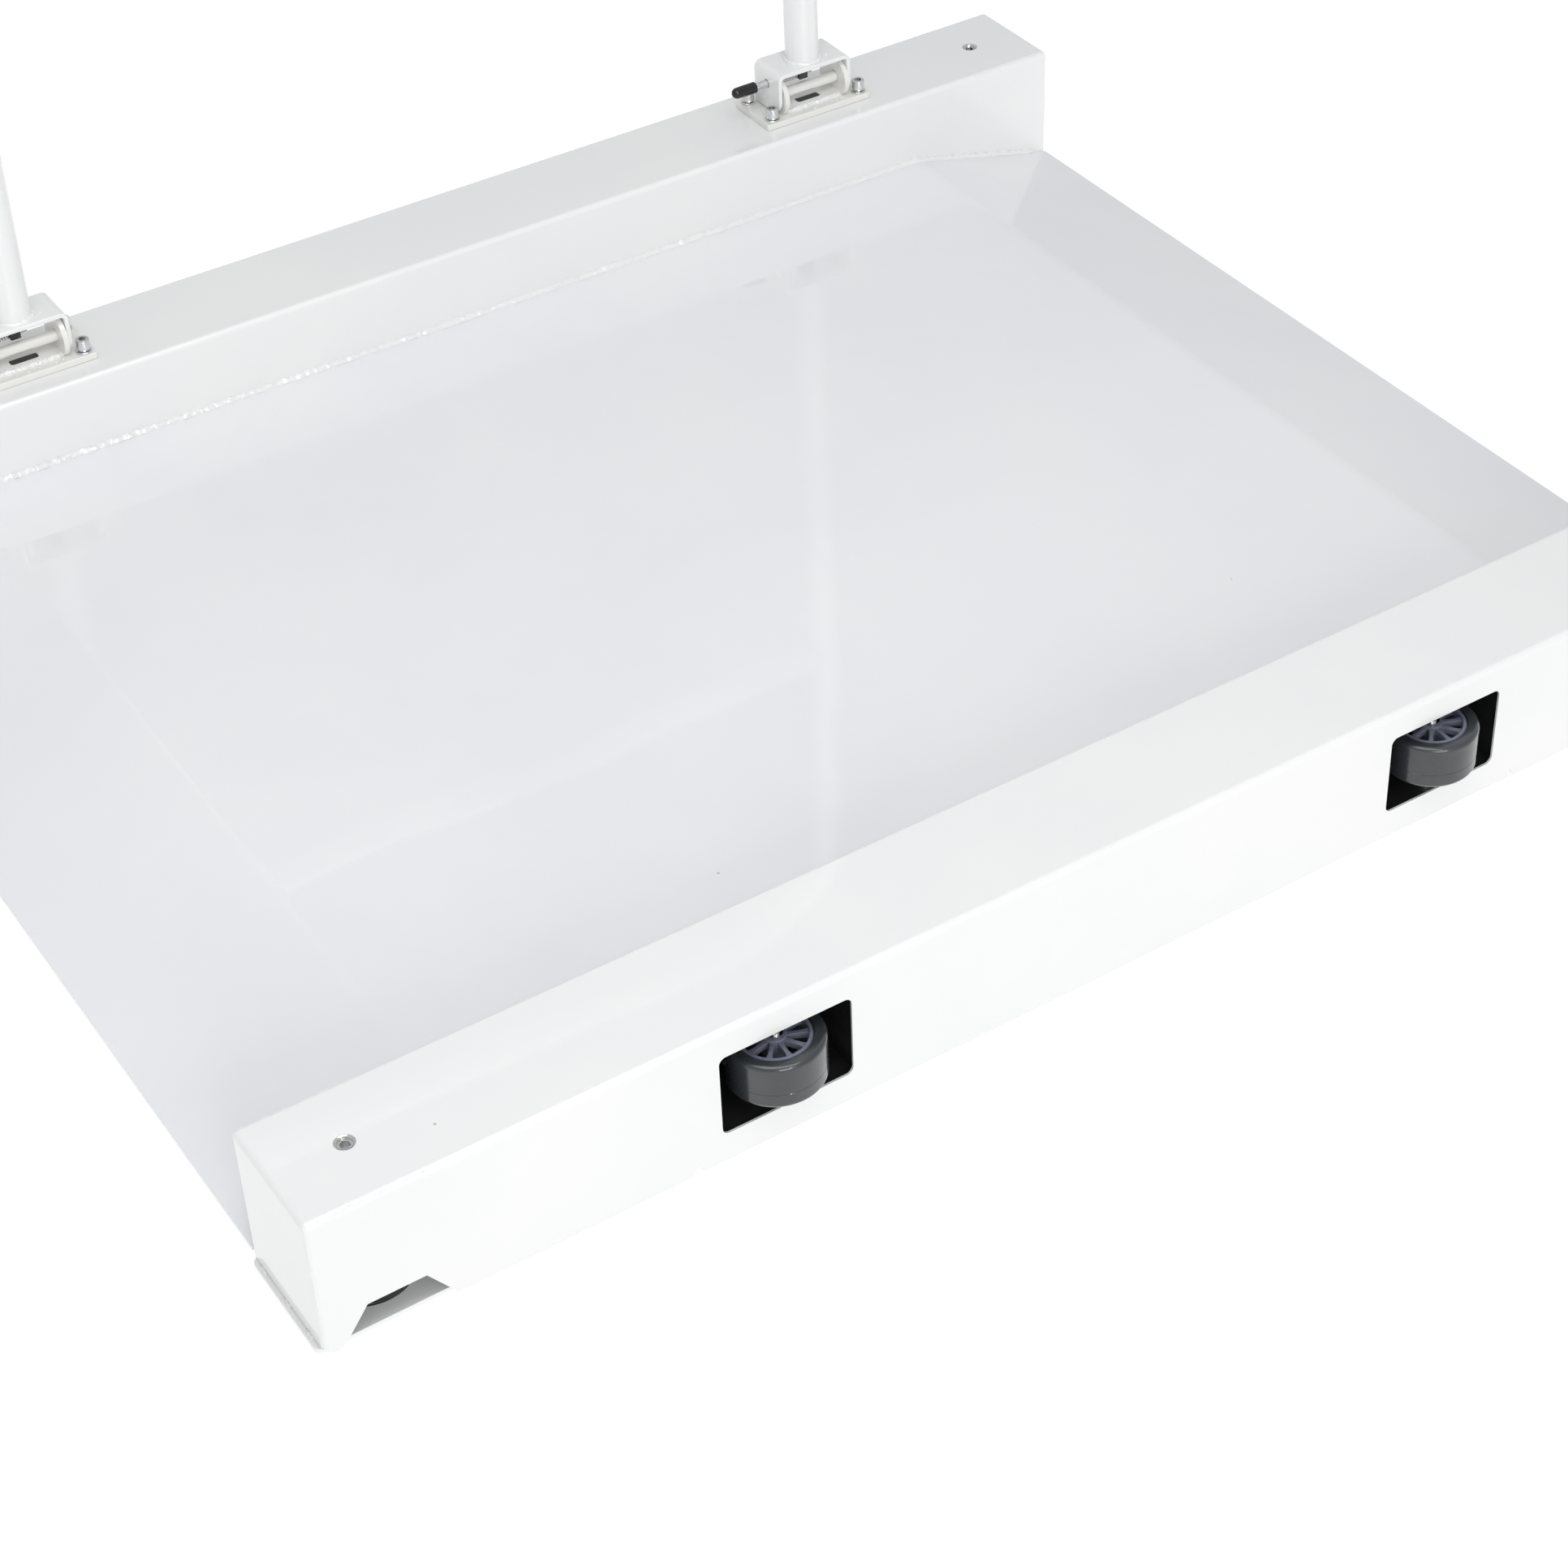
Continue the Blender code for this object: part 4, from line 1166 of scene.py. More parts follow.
@dataclass
class Deck:
    """The walked-on sheet with its two creases, and what is fixed under it."""

    looks: Looks
    sheet: float = 3 * MM
    run: float = 134 * MM
    edge_drop: float = 33.8 * MM
    crease: float = 5 * MM
    rib_wall: float = 2.5 * MM
    ribs: int = 3
    stitches: int = 6
    stitch_start: float = 40 * MM
    stitch_pitch: float = 130 * MM
    stitch_length: float = 35 * MM
    lid: float = 4 * MM
    gland_from_side: float = 18 * MM
    screw_from_side: float = 8 * MM

    def __post_init__(self) -> None:
        """Reads the deck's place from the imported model."""
        self.low, self.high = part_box("deck_sheet")

    def height(self, x: float) -> float:
        """The deck's top at one place along the beams."""
        past = max(0.0, abs(x) - (self.high.x - self.run))
        return self.high.z - self.edge_drop * past / self.run

    def sheet_mesh(self) -> BMesh:
        """The folded sheet, with soft creases.

        Returns:
            The sheet.
        """
        slope = math.atan2(self.edge_drop, self.run)
        fold = self.high.x - self.run
        drop = self.sheet / math.cos(slope)
        under = fold - self.sheet * math.tan(slope / 2)
        top, edge = self.high.z, self.high.z - self.edge_drop
        outline = [(self.high.x, edge - drop), (under, top - self.sheet), (-under, top - self.sheet),
                   (self.low.x, edge - drop), (self.low.x, edge), (-fold, top), (fold, top),
                   (self.high.x, edge)]
        bm = prism(outline, Axis.Y, self.low.y, self.high.y)
        return bevelled(bm, lambda line: abs(abs(line.verts[0].co.x) - fold) < self.sheet
                        and abs(line.verts[0].co.x - line.verts[1].co.x) < PAST / 2
                        and abs(line.verts[0].co.y - line.verts[1].co.y) > PAST, self.crease, 5)

    def rib(self, node: str) -> BMesh:
        """A folded channel across the underside, open side up, with round folds.

        Args:
            node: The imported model's rib.

        Returns:
            The channel.
        """
        low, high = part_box(node)
        wall = self.rib_wall
        outline = [(low.x, low.z), (high.x, low.z), (high.x, high.z), (high.x - wall, high.z),
                   (high.x - wall, low.z + wall), (low.x + wall, low.z + wall), (low.x + wall, high.z),
                   (low.x, high.z)]
        bm = prism(outline, Axis.Y, low.y, high.y)
        return bevelled(bm, lambda line: abs(line.verts[0].co.y - line.verts[1].co.y) > PAST
                        and line.verts[0].co.z < low.z + 2 * wall, 2 * MM, 4)

    def junction_box(self) -> None:
        """The summing box: a body with rounded upright edges, a lid with four screws, and its cable glands.
        """
        low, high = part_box("junction_box")
        lid = self.lid
        body = bevelled(block((low.x, low.y, low.z + lid), high),
                        lambda line: abs(line.verts[0].co.z - line.verts[1].co.z) > PAST, 3 * MM, 5)
        cover = bevelled(block((low.x + 0.5 * MM, low.y + 0.5 * MM, low.z),
                               (high.x - 0.5 * MM, high.y - 0.5 * MM, low.z + lid - 0.4 * MM)),
                         lambda line: line.verts[0].co.z < low.z + PAST or line.verts[1].co.z < low.z + PAST,
                         1.2 * MM, 3)
        glands = [cylinder(5 * MM, -3 * MM, 3 * MM, (x, y, (low.z + high.z) / 2 + MM), Axis.X, 24, 0.8 * MM)
                  for x in (low.x, high.x)
                  for y in (low.y + self.gland_from_side, high.y - self.gland_from_side)]
        platform = Body.PLATFORM.value
        piece("junction_box_body", together(body, cover, *glands), self.looks.black, platform,
              ["junction_box"], edge=0.4 * MM)
        heads = []
        inset = self.screw_from_side
        for x in (low.x + inset, high.x - inset):
            for y in (low.y + inset, high.y - inset):
                head = cylinder(3 * MM, low.z - 0.6 * MM, low.z + 2 * MM, (x, y, 0), steps=24,
                                chamfer=0.5 * MM)
                slots = [block((x - a, y - b, low.z - PAST), (x + a, y + b, low.z + 0.6 * MM))
                         for a, b in ((2 * MM, 0.4 * MM), (0.4 * MM, 2 * MM))]
                heads.append(carved(head, cuts=slots))
        piece("junction_box_screws", together(*heads), self.looks.zinc, platform)

    def build(self) -> None:
        """Builds the deck, its ribs with their stitch welds, and the junction box."""
        platform = Body.PLATFORM.value
        # The deck plate takes the cooler copy of the white paint, which is painted shade for the light on the
        # deck.
        piece("deck_plate", self.sheet_mesh(), self.looks.deck, platform, ["deck_sheet"],
              edge=0.3 * MM)
        for index in range(1, self.ribs + 1):
            node = f"deck_rib_{index}"
            piece(f"{node}_channel", self.rib(node), self.looks.paint, platform, [node],
                  edge=0.3 * MM)
            low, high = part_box(node)
            stitches = []
            for x in (low.x, high.x):
                for place in range(self.stitches):
                    y = low.y + self.stitch_start + place * self.stitch_pitch
                    end = Vector((x, y + self.stitch_length, high.z))
                    path = straight(Vector((x, y, high.z)), end, 1.5 * MM)
                    stitches.append(weld(path, 2 * MM, UP, seed=x + place, sides=8))
            piece(f"rib_welds_{index}", together(*stitches), self.looks.bead, platform)
        self.junction_box()


# ---------------------------------------------------------------- beam ends


@dataclass
class BeamEnd:
    """What one beam end holds: the foot plate, the load cell and the levelling foot."""

    label: str
    looks: Looks
    opening: float = 30.5 * MM
    plate_corner: float = 5 * MM
    drain: float = 1.6 * MM
    stud: float = 6 * MM
    hex_height: float = 7 * MM
    key_across: float = 6 * MM
    key_depth: float = 5 * MM
    thread: float = 0.55 * MM
    thread_steps: int = 18
    ribs: int = 6
    rib_depth: float = 1.1 * MM
    bar: float = 25 * MM
    spacer: float = 40 * MM
    bore: float = 7.5 * MM
    bore_apart: float = 9 * MM
    core: float = 5.4 * MM
    pitch: float = 1.75 * MM
    nut_across: float = 19 * MM
    raised: float = 5 * MM
    pad_gap: float = 3.5 * MM

    def __post_init__(self) -> None:
        """Reads the pieces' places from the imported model."""
        self.pad_low, self.pad_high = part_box(f"foot_pad_{self.label}")
        self.stud_low, self.stud_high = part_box(f"foot_stud_{self.label}")
        self.cell_low, self.cell_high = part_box(f"load_cell_{self.label}")
        self.plate_low, self.plate_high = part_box(f"foot_plate_{self.label}")
        self.x = (self.pad_low.x + self.pad_high.x) / 2
        self.y = (self.pad_low.y + self.pad_high.y) / 2
        self.side = -1 if self.x < 0 else 1

    def plate(self) -> BMesh:
        """The plate under the beam end, with its round opening and a small drain hole.

        Returns:
            The plate.
        """
        low, high = self.plate_low, self.plate_high
        bm = prism(rounded((low.x, low.y), (high.x, high.y), self.plate_corner), Axis.Z, low.z, high.z)
        hole = cylinder(self.opening, low.z - PAST, high.z + PAST, (self.x, self.y, 0), steps=96)
        drain = cylinder(self.drain, low.z - PAST, high.z + PAST,
                         (self.side * (abs(self.x) + 44 * MM), high.y - 9 * MM, 0), steps=20)
        return carved(bm, cuts=[hole, drain])

    def tacks(self) -> BMesh:
        """The short welds between the plate and the beam's end wall.

        Returns:
            The beads.
        """
        low, high = self.plate_low, self.plate_high
        x = self.side * (max(abs(low.x), abs(high.x)) - 2.6 * MM)
        beads = []
        for index, share in enumerate((0.16, 0.5, 0.86)):
            y = low.y + share * (high.y - low.y)
            path = straight(Vector((x, y - 5 * MM, high.z)), Vector((x, y + 5 * MM, high.z)), 0.8 * MM)
            beads.append(weld(path, 1.1 * MM, UP, lumps=0.5, seed=self.x + index, sides=8))
        return together(*beads)

    def pad(self) -> BMesh:
        """The rubber foot, with moulded ribs round it.

        Returns:
            The foot.
        """
        radius = self.opening - self.pad_gap
        low, high = self.pad_low.z, self.pad_high.z
        side = []
        rib = (high - low - 5 * MM) / self.ribs
        for index in range(self.ribs):
            start = low + 1.5 * MM + index * rib
            side += [(radius, start), (radius, start + 0.6 * rib),
                     (radius - self.rib_depth, start + 0.7 * rib),
                     (radius - self.rib_depth, start + 0.95 * rib)]
        profile = [(0.0, low), (radius - 1.2 * MM, low), *side, (radius - 1.5 * MM, high - 2 * MM),
                   (radius - 4 * MM, high), (0.0, high)]
        return turned(profile, (self.x, self.y, 0), steps=72)

    def stud_mesh(self) -> BMesh:
        """The threaded stud with its hexagon and the key socket in its top.

        Returns:
            The stud.
        """
        centre = (self.x, self.y, 0)
        top = self.stud_high.z + self.raised
        hex_low, hex_high = self.stud_low.z, self.stud_low.z + self.hex_height
        hexed = bevelled(hexagon(self.nut_across, hex_low, hex_high, centre),
                         lambda edge: abs(edge.verts[0].co.z - edge.verts[1].co.z) < PAST, 0.7 * MM, 2)
        plain = self.cell_low.z - 4 * MM
        shaft = cylinder(self.stud, plain, top, centre, steps=40, chamfer=0.7 * MM)
        shaft = carved(shaft, cuts=[hexagon(self.key_across, top - self.key_depth, top + PAST, centre)])
        core = cylinder(self.core, hex_high - PAST / 2, plain + PAST / 2, centre, steps=40)
        turns = (plain - hex_high) / self.pitch
        count = int(turns * self.thread_steps)
        helix = [Vector((self.x + self.core * math.cos(turn), self.y + self.core * math.sin(turn),
                         hex_high + (plain - hex_high) * step / count))
                 for step, turn in ((step, step * math.tau / self.thread_steps)
                                    for step in range(count + 1))]
        thread = swept(helix, lambda share, turn: self.thread, UP, 6)
        return together(hexed, shaft, core, thread)

    def cell(self) -> BMesh:
        """The load cell's bending beam, milled through in its middle.

        Returns:
            The milled bar.
        """
        low, high = self.cell_low, self.cell_high
        bar_high = low.z + self.bar
        inner = low.x if self.side > 0 else high.x
        outer = high.x if self.side > 0 else low.x
        step_x = inner + self.side * self.spacer
        bm = prism([(outer, low.z), (inner, low.z), (inner, high.z), (step_x, high.z), (step_x, bar_high),
                    (outer, bar_high)], Axis.Y, low.y, high.y)
        middle = (outer + step_x) / 2
        bores = []
        for offset in (-self.bore_apart, self.bore_apart):
            hole = cylinder(self.bore, low.y - self.y - PAST, high.y - self.y + PAST, (0, 0, 0), steps=40)
            bmesh.ops.rotate(hole, verts=hole.verts, matrix=Matrix.Rotation(-QUARTER, 3, "X"))
            bmesh.ops.translate(hole, verts=hole.verts, vec=(middle - 6 * MM * self.side + offset, self.y,
                                                             (low.z + bar_high) / 2))
            bores.append(hole)
        seat = cylinder(self.stud + 0.3 * MM, low.z - PAST, bar_high + PAST, (self.x, self.y, 0))
        return carved(bm, cuts=[*bores, seat])

    def cell_trim(self) -> BMesh:
        """The potting over the gauges, on both faces of the load cell.

        Returns:
            The two pads.
        """
        low, high = self.cell_low, self.cell_high
        outer = high.x if self.side > 0 else low.x
        middle = outer - self.side * 56 * MM
        pads = []
        for y in (low.y, high.y):
            outline = rounded((middle - 11 * MM, low.z + 5 * MM), (middle + 11 * MM, low.z + 20 * MM), 3 * MM)
            pads.append(prism(outline, Axis.Y, y - 0.8 * MM, y + 0.8 * MM))
        return together(*pads)

    def build(self) -> None:
        """Builds the pieces of this beam end."""
        platform, foot = Body.PLATFORM.value, f"foot_{self.label}"
        piece(f"foot_base_{self.label}", self.plate(), self.looks.paint, platform,
              [f"foot_plate_{self.label}"], edge=0.4 * MM)
        piece(f"foot_tacks_{self.label}", self.tacks(), self.looks.bead, platform)
        piece(f"foot_rubber_{self.label}", self.pad(), self.looks.rubber, foot,
              [f"foot_pad_{self.label}"])
        piece(f"foot_screw_{self.label}", self.stud_mesh(), self.looks.zinc, foot,
              [f"foot_stud_{self.label}"])
        piece(f"cell_bar_{self.label}", self.cell(), self.looks.alloy, platform,
              [f"load_cell_{self.label}"], edge=0.5 * MM)
        piece(f"cell_potting_{self.label}", self.cell_trim(), self.looks.potting, platform,
              edge=0.4 * MM)


# ---------------------------------------------------------------- wheels


@dataclass
class TransportWheel:
    """A moulded wheel on an upright axle, in its pressed housing behind the near beam's window."""

    label: str
    looks: Looks
    shoulder: float = 3.2 * MM
    ring: float = 2.6 * MM
    boss: float = 7.5 * MM
    bore: float = 4.3 * MM
    axle: float = 4 * MM
    spokes: int = 10
    spoke_deep: float = 4.5 * MM
    fuller: float = 1.8 * MM
    wall: float = 2 * MM
    collar: float = 6.5 * MM
    gap: float = 0.3 * MM
    fold: float = 4 * MM

    def __post_init__(self) -> None:
        """Reads the wheel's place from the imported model."""
        low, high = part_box(f"wheel_tyre_{self.label}")
        self.centre = (low + high) / 2 - Vector((0, 0, self.fuller))
        self.radius, self.half = (high.x - low.x) / 2, (high.z - low.z) / 2 + self.fuller
        hub_low, hub_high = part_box(f"wheel_hub_{self.label}")
        self.rim, self.hub_half = (hub_high.x - hub_low.x) / 2, (hub_high.z - hub_low.z) / 2 + self.fuller
        self.axle_low, self.axle_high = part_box(f"wheel_axle_{self.label}")

    def tyre(self) -> BMesh:
        """The tyre: round shoulders, a mould line round the tread and a step down to the hub.

        Returns:
            The tyre.
        """
        outer, half, turn = self.radius, self.half, self.shoulder
        seam = -0.32 * half
        low = arc((outer - turn, -half + turn), turn, -QUARTER, 0, 10)
        high = arc((outer - turn, half - turn), turn, 0, QUARTER, 10)
        mould = [(outer, seam - 0.35 * MM), (outer, seam - 0.2 * MM), (outer - 0.22 * MM, seam),
                 (outer, seam + 0.2 * MM), (outer, seam + 0.35 * MM)]
        bead = self.rim + 0.3 * MM
        profile = [(bead, -half + 0.6 * MM), (bead + 0.6 * MM, -half), *low, *mould, *high,
                   (bead + 0.6 * MM, half), (bead, half - 0.6 * MM)]
        return turned(profile, self.centre, steps=120)

    def spoke(self) -> BMesh:
        """One spoke, flared where it meets the boss and the rim.

        Returns:
            The spoke along X, as an upper and a lower bar.
        """
        inner, outer = self.boss - 0.8 * MM, self.rim - self.ring + 0.6 * MM
        steps = 12
        widths = []
        for step in range(steps + 1):
            share = step / steps
            flare = 1.5 * max(0.0, share - 0.6) ** 2 / 0.16 + 0.6 * max(0.0, 0.35 - share) ** 2 / 0.12
            widths.append((inner + share * (outer - inner), (1.35 + flare) * MM))
        outline = widths + [(radius, -width) for radius, width in reversed(widths)]
        lift = self.hub_half - 1.3 * MM
        return together(prism(outline, Axis.Z, -lift, self.spoke_deep - lift),
                        prism(outline, Axis.Z, lift - self.spoke_deep, lift))

    def hub(self) -> BMesh:
        """The hub: rim ring, boss and spokes.

        Returns:
            The hub.
        """
        half, rim, inner = self.hub_half, self.rim, self.rim - self.ring
        chamfer = 0.5 * MM
        parts = []
        for near, far in ((self.bore, self.boss), (inner, rim)):
            profile = [(near, -half + chamfer), (near + chamfer, -half), (far - chamfer, -half),
                       (far, -half + chamfer), (far, half - chamfer), (far - chamfer, half),
                       (near + chamfer, half), (near, half - chamfer)]
            parts.append(turned(profile, (0, 0, 0), steps=90))
        for index in range(self.spokes):
            arm = self.spoke()
            bmesh.ops.rotate(arm, verts=arm.verts,
                             matrix=Matrix.Rotation((index + 0.35) * math.tau / self.spokes, 3, "Z"))
            parts.append(arm)
        made = together(*parts)
        bmesh.ops.translate(made, verts=made.verts, vec=self.centre)
        return made

    def axle_mesh(self) -> BMesh:
        """The axle with its spacers and a turned groove.

        Returns:
            The axle.
        """
        x, y, z = self.centre
        half, wall, collar, gap = self.hub_half, self.wall, self.collar, self.gap
        low, high = (corner.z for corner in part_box(f"wheel_housing_{self.label}"))
        under, over = self.axle_low.z, self.axle_high.z
        parts = [(collar, under, low - gap), (self.axle, low - gap, low + wall + gap),
                 (collar, low + wall + gap, z - half - gap), (self.axle, z - half - gap, z + half + gap),
                 (5.4 * MM, z + half + gap, z + half + 1.6 * MM),
                 (self.axle, z + half + 1.6 * MM, high - 6 * MM),
                 (collar, high - 6 * MM, high - wall - gap), (self.axle, high - wall - gap, high + gap),
                 (collar, high + gap, over)]
        return turned(stages(parts, 0.8 * MM), (x, y, 0), steps=40)

    def housing(self) -> BMesh:
        """The black housing, open towards the window, with rounded folds; besides being its own colour, the
        black is painted shade for the dark inside of the beam behind the window.

        Returns:
            The housing.
        """
        low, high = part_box(f"wheel_housing_{self.label}")
        front = low.y

        def behind(edge: bmesh.types.BMEdge) -> bool:
            """Whether an edge lies behind the open front."""
            return any(vert.co.y > front + PAST for vert in edge.verts)

        body = bevelled(block(low, high), behind, self.fold, 6)
        hollow = bevelled(block((low.x + self.wall, front - PAST, low.z + self.wall),
                                (high.x - self.wall, high.y - self.wall, high.z - self.wall)),
                          behind, self.fold - self.wall, 5)
        x, y, _ = self.centre
        bore = cylinder(self.axle + self.gap, low.z - PAST, high.z + PAST, (x, y, 0))
        return carved(body, cuts=[hollow, bore])

    def build(self) -> None:
        """Builds the wheel, its axle and its housing."""
        body, platform = f"wheel_{self.label}", Body.PLATFORM.value
        piece(f"tyre_{self.label}", self.tyre(), self.looks.tyre, body,
              [f"wheel_tyre_{self.label}"])
        piece(f"hub_{self.label}", self.hub(), self.looks.hub, body, [f"wheel_hub_{self.label}"],
              edge=0.35 * MM)
        piece(f"axle_{self.label}", self.axle_mesh(), self.looks.bright, platform,
              [f"wheel_axle_{self.label}"])
        # The housing's black is partly its own colour and partly painted shade for the dark inside of the
        # beam behind the window.
        piece(f"housing_{self.label}", self.housing(), self.looks.black, platform,
              [f"wheel_housing_{self.label}"], edge=0.3 * MM)


# ---------------------------------------------------------------- hinges and latches


@dataclass
class Hinge:
    """One handrail hinge: plate, bracket, pin, screws, and the fork that turns on them."""

    label: str
    looks: Looks
    ear_inner: float = 27 * MM
    ear_sheet: float = 4 * MM
    ear_radius: float = 16.5 * MM
    ear_back: float = 16 * MM
    ear_corner: float = 5 * MM
    floor: float = 2.6 * MM
    nose: float = 13 * MM
    sheet: float = 3.5 * MM
    play: float = 0.5 * MM
    bend: float = 6 * MM
    rod: float = 3.5 * MM
    plate_thick: float = 5 * MM
    slot_half: Point = (11 * MM, 4 * MM)
    play_round: float = 0.3 * MM
    screw_radius: float = 3 * MM
    head_radius: float = 5 * MM
    head_height: float = 7.3 * MM
    knurl: float = 0.14 * MM
    key_across: float = 5 * MM
    key_depth: float = 4 * MM
    flat_washer: float = 1.6 * MM
    spring_washer: float = 1.9 * MM
    washer_bore: float = 3.2 * MM

    def __post_init__(self) -> None:
        """Reads the hinge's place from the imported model."""
        low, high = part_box(f"hinge_base_{self.label}")
        self.plate_low, self.plate_high = low, high
        self.x, self.y = (low.x + high.x) / 2, (low.y + high.y) / 2
        self.top = low.z + self.plate_thick
        pin_low, pin_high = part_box(f"hinge_pin_{self.label}")
        self.pin = (pin_low + pin_high) / 2
        self.pin_radius, self.pin_half = (pin_high.z - pin_low.z) / 2, (pin_high.x - pin_low.x) / 2
        rod_low, rod_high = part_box(f"latch_rod_{self.label}")
        self.rod_y, self.rod_z = (rod_low.y + rod_high.y) / 2, (rod_low.z + rod_high.z) / 2
        self.fork_low, self.fork_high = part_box(f"hinge_fork_{self.label}")

    def ear_outline(self) -> list[Point]:
        """A fixed ear from the side: round in front about the pin, square behind.

        Returns:
            The outline's points, as (y, z).
        """
        foot = self.top - 2 * MM
        dip = math.asin((foot - self.pin.z) / self.ear_radius)
        front = arc((self.pin.y, self.pin.z), self.ear_radius, QUARTER, math.pi - dip, 28)
        back, crown = self.y + self.ear_back, self.pin.z + self.ear_radius
        corner = arc((back - self.ear_corner, crown - self.ear_corner), self.ear_corner, 0, QUARTER, 8)
        return front + [(back, foot)] + corner

    def latch_slot(self) -> list[Point]:
        """The curved slot that the latch rod sweeps as the rail folds.

        Returns:
            The slot's outline, as (y, z).
        """
        dy, dz = self.rod_y - self.pin.y, self.rod_z - self.pin.z
        orbit, start = math.hypot(dy, dz), math.atan2(dz, dy)
        end = start + QUARTER
        pin = (self.pin.y, self.pin.z)
        tips = [(pin[0] + orbit * math.cos(turn), pin[1] + orbit * math.sin(turn)) for turn in (start, end)]
        outline = arc(pin, orbit + self.rod, start, end, 20)
        outline += arc(tips[1], self.rod, end, end + math.pi, 12)[1:-1]
        outline += arc(pin, orbit - self.rod, end, start, 20)
        return outline + arc(tips[0], self.rod, start - math.pi, start, 12)[1:-1]

    def base(self) -> BMesh:
        """The screwed plate with the welded bracket that carries the pin.

        Returns:
            The plate and bracket as one mesh.
        """
        low, high = self.plate_low, self.plate_high
        plate = bevelled(prism(rounded((low.x, low.y), (high.x, high.y), 2 * MM), Axis.Z, low.z, self.top),
                         lambda edge: edge.verts[0].co.z > self.top - PAST / 2
                         and edge.verts[1].co.z > self.top - PAST / 2, 0.8 * MM, 3)
        outer = self.ear_inner + self.ear_sheet
        ears = [prism(self.ear_outline(), Axis.X, self.x + side * self.ear_inner, self.x + side * outer)
                for _, side in SIDES]
        front = self.pin.y - math.sqrt(self.ear_radius ** 2 - (self.pin.z - self.top) ** 2)
        floor = block((self.x - outer + PAST, front + PAST, self.top - PAST / 2),
                      (self.x + outer - PAST, self.y + self.ear_back - PAST / 4, self.top + self.floor))
        wide, deep = self.slot_half
        outline = rounded((self.x - wide, self.pin.y - deep), (self.x + wide, self.pin.y + deep), 2.4 * MM)
        slot = prism(outline, Axis.Z, low.z - PAST, self.top + 3 * self.floor)
        holes = [cylinder(3.3 * MM, low.z - PAST, self.top + PAST, (x, y, 0), steps=32)
                 for x, y in self.screw_places()]
        sweep = prism(self.latch_slot(), Axis.X, self.x - outer - PAST, self.x - self.ear_inner + PAST)
        bore = cylinder(self.pin_radius + self.play_round, -outer - PAST, outer + PAST, self.pin, Axis.X, 48)
        return carved(plate, joins=[*ears, floor], cuts=[slot, sweep, bore, *holes])

    def screw_places(self) -> list[Point]:
        """The four screws' places.

        Returns:
            Their (x, y) places.
        """
        places = []
        for index in range(1, 5):
            low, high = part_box(f"hinge_screw_{self.label}_{index}")
            places.append(((low.x + high.x) / 2, (low.y + high.y) / 2))
        return places

    def base_welds(self) -> BMesh:
        """The beads round the bracket's foot, and the spatter beside them.

        Returns:
            The beads and drops.
        """
        outer = self.ear_inner + self.ear_sheet
        front = self.pin.y - math.sqrt(self.ear_radius ** 2 - (self.pin.z - self.top) ** 2)
        back = self.y + self.ear_back
        beads = []
        z = self.top + 0.4 * MM
        across = straight(Vector((self.x - outer + 2 * MM, front + 0.6 * MM, z)),
                          Vector((self.x + outer - 2 * MM, front + 0.6 * MM, z)), 0.8 * MM)
        beads.append(weld(across, 2.3 * MM, UP, lumps=0.5, seed=self.x * 31))
        behind = straight(Vector((self.x - self.ear_inner, back, z)),
                          Vector((self.x + self.ear_inner, back, z)), MM)
        beads.append(weld(behind, 1.8 * MM, UP, lumps=0.35, seed=self.x * 17))
        middle = Vector((self.x, front, self.top))
        places = ((-24, -4), (-12, -5), (6, -4.5), (19, -5.5), (25, -4), (-3, -6))
        return together(*beads, *spatter(middle, places, 0.5 * MM, 0.13 * MM))

    def fork(self) -> BMesh:
        """The bent fork that straddles the bracket and carries the post.

        Returns:
            The fork.
        """
        inner = self.ear_inner + self.ear_sheet + self.play
        outer = inner + self.sheet
        low, high = self.fork_low.z, self.fork_high.z
        bend, inside = self.bend, self.bend - self.sheet
        outline = [(self.x + outer, low)]
        outline += arc((self.x + outer - bend, high - bend), bend, 0, QUARTER, 10)
        outline += arc((self.x - outer + bend, high - bend), bend, QUARTER, math.pi, 10)
        outline += [(self.x - outer, low), (self.x - inner, low)]
        ceiling = high - self.sheet
        outline += arc((self.x - inner + inside, ceiling - inside), inside, math.pi, QUARTER, 8)
        outline += arc((self.x + inner - inside, ceiling - inside), inside, QUARTER, 0, 8)
        outline += [(self.x + inner, low)]
        front, back = self.fork_low.y, self.fork_high.y
        bm = prism(outline, Axis.Y, front, back)
        side = [(back + PAST, low - PAST), (back + PAST, high + PAST), (front, high + PAST)]
        side += arc((self.pin.y, self.pin.z), self.nose, math.pi, 3 * QUARTER, 20)
        side += [(self.pin.y, low - PAST)]
        keep = prism(side, Axis.X, self.x - outer - PAST, self.x + outer + PAST)
        bore = cylinder(self.pin_radius + self.play_round, -inner - 2 * MM, inner + 2 * MM, self.pin, Axis.X,
                        48)
        rod = cylinder(self.rod, -outer - PAST, -inner + PAST, (self.x, self.rod_y, self.rod_z), Axis.X, 40)
        return carved(bm, keeps=[keep], cuts=[bore, rod])

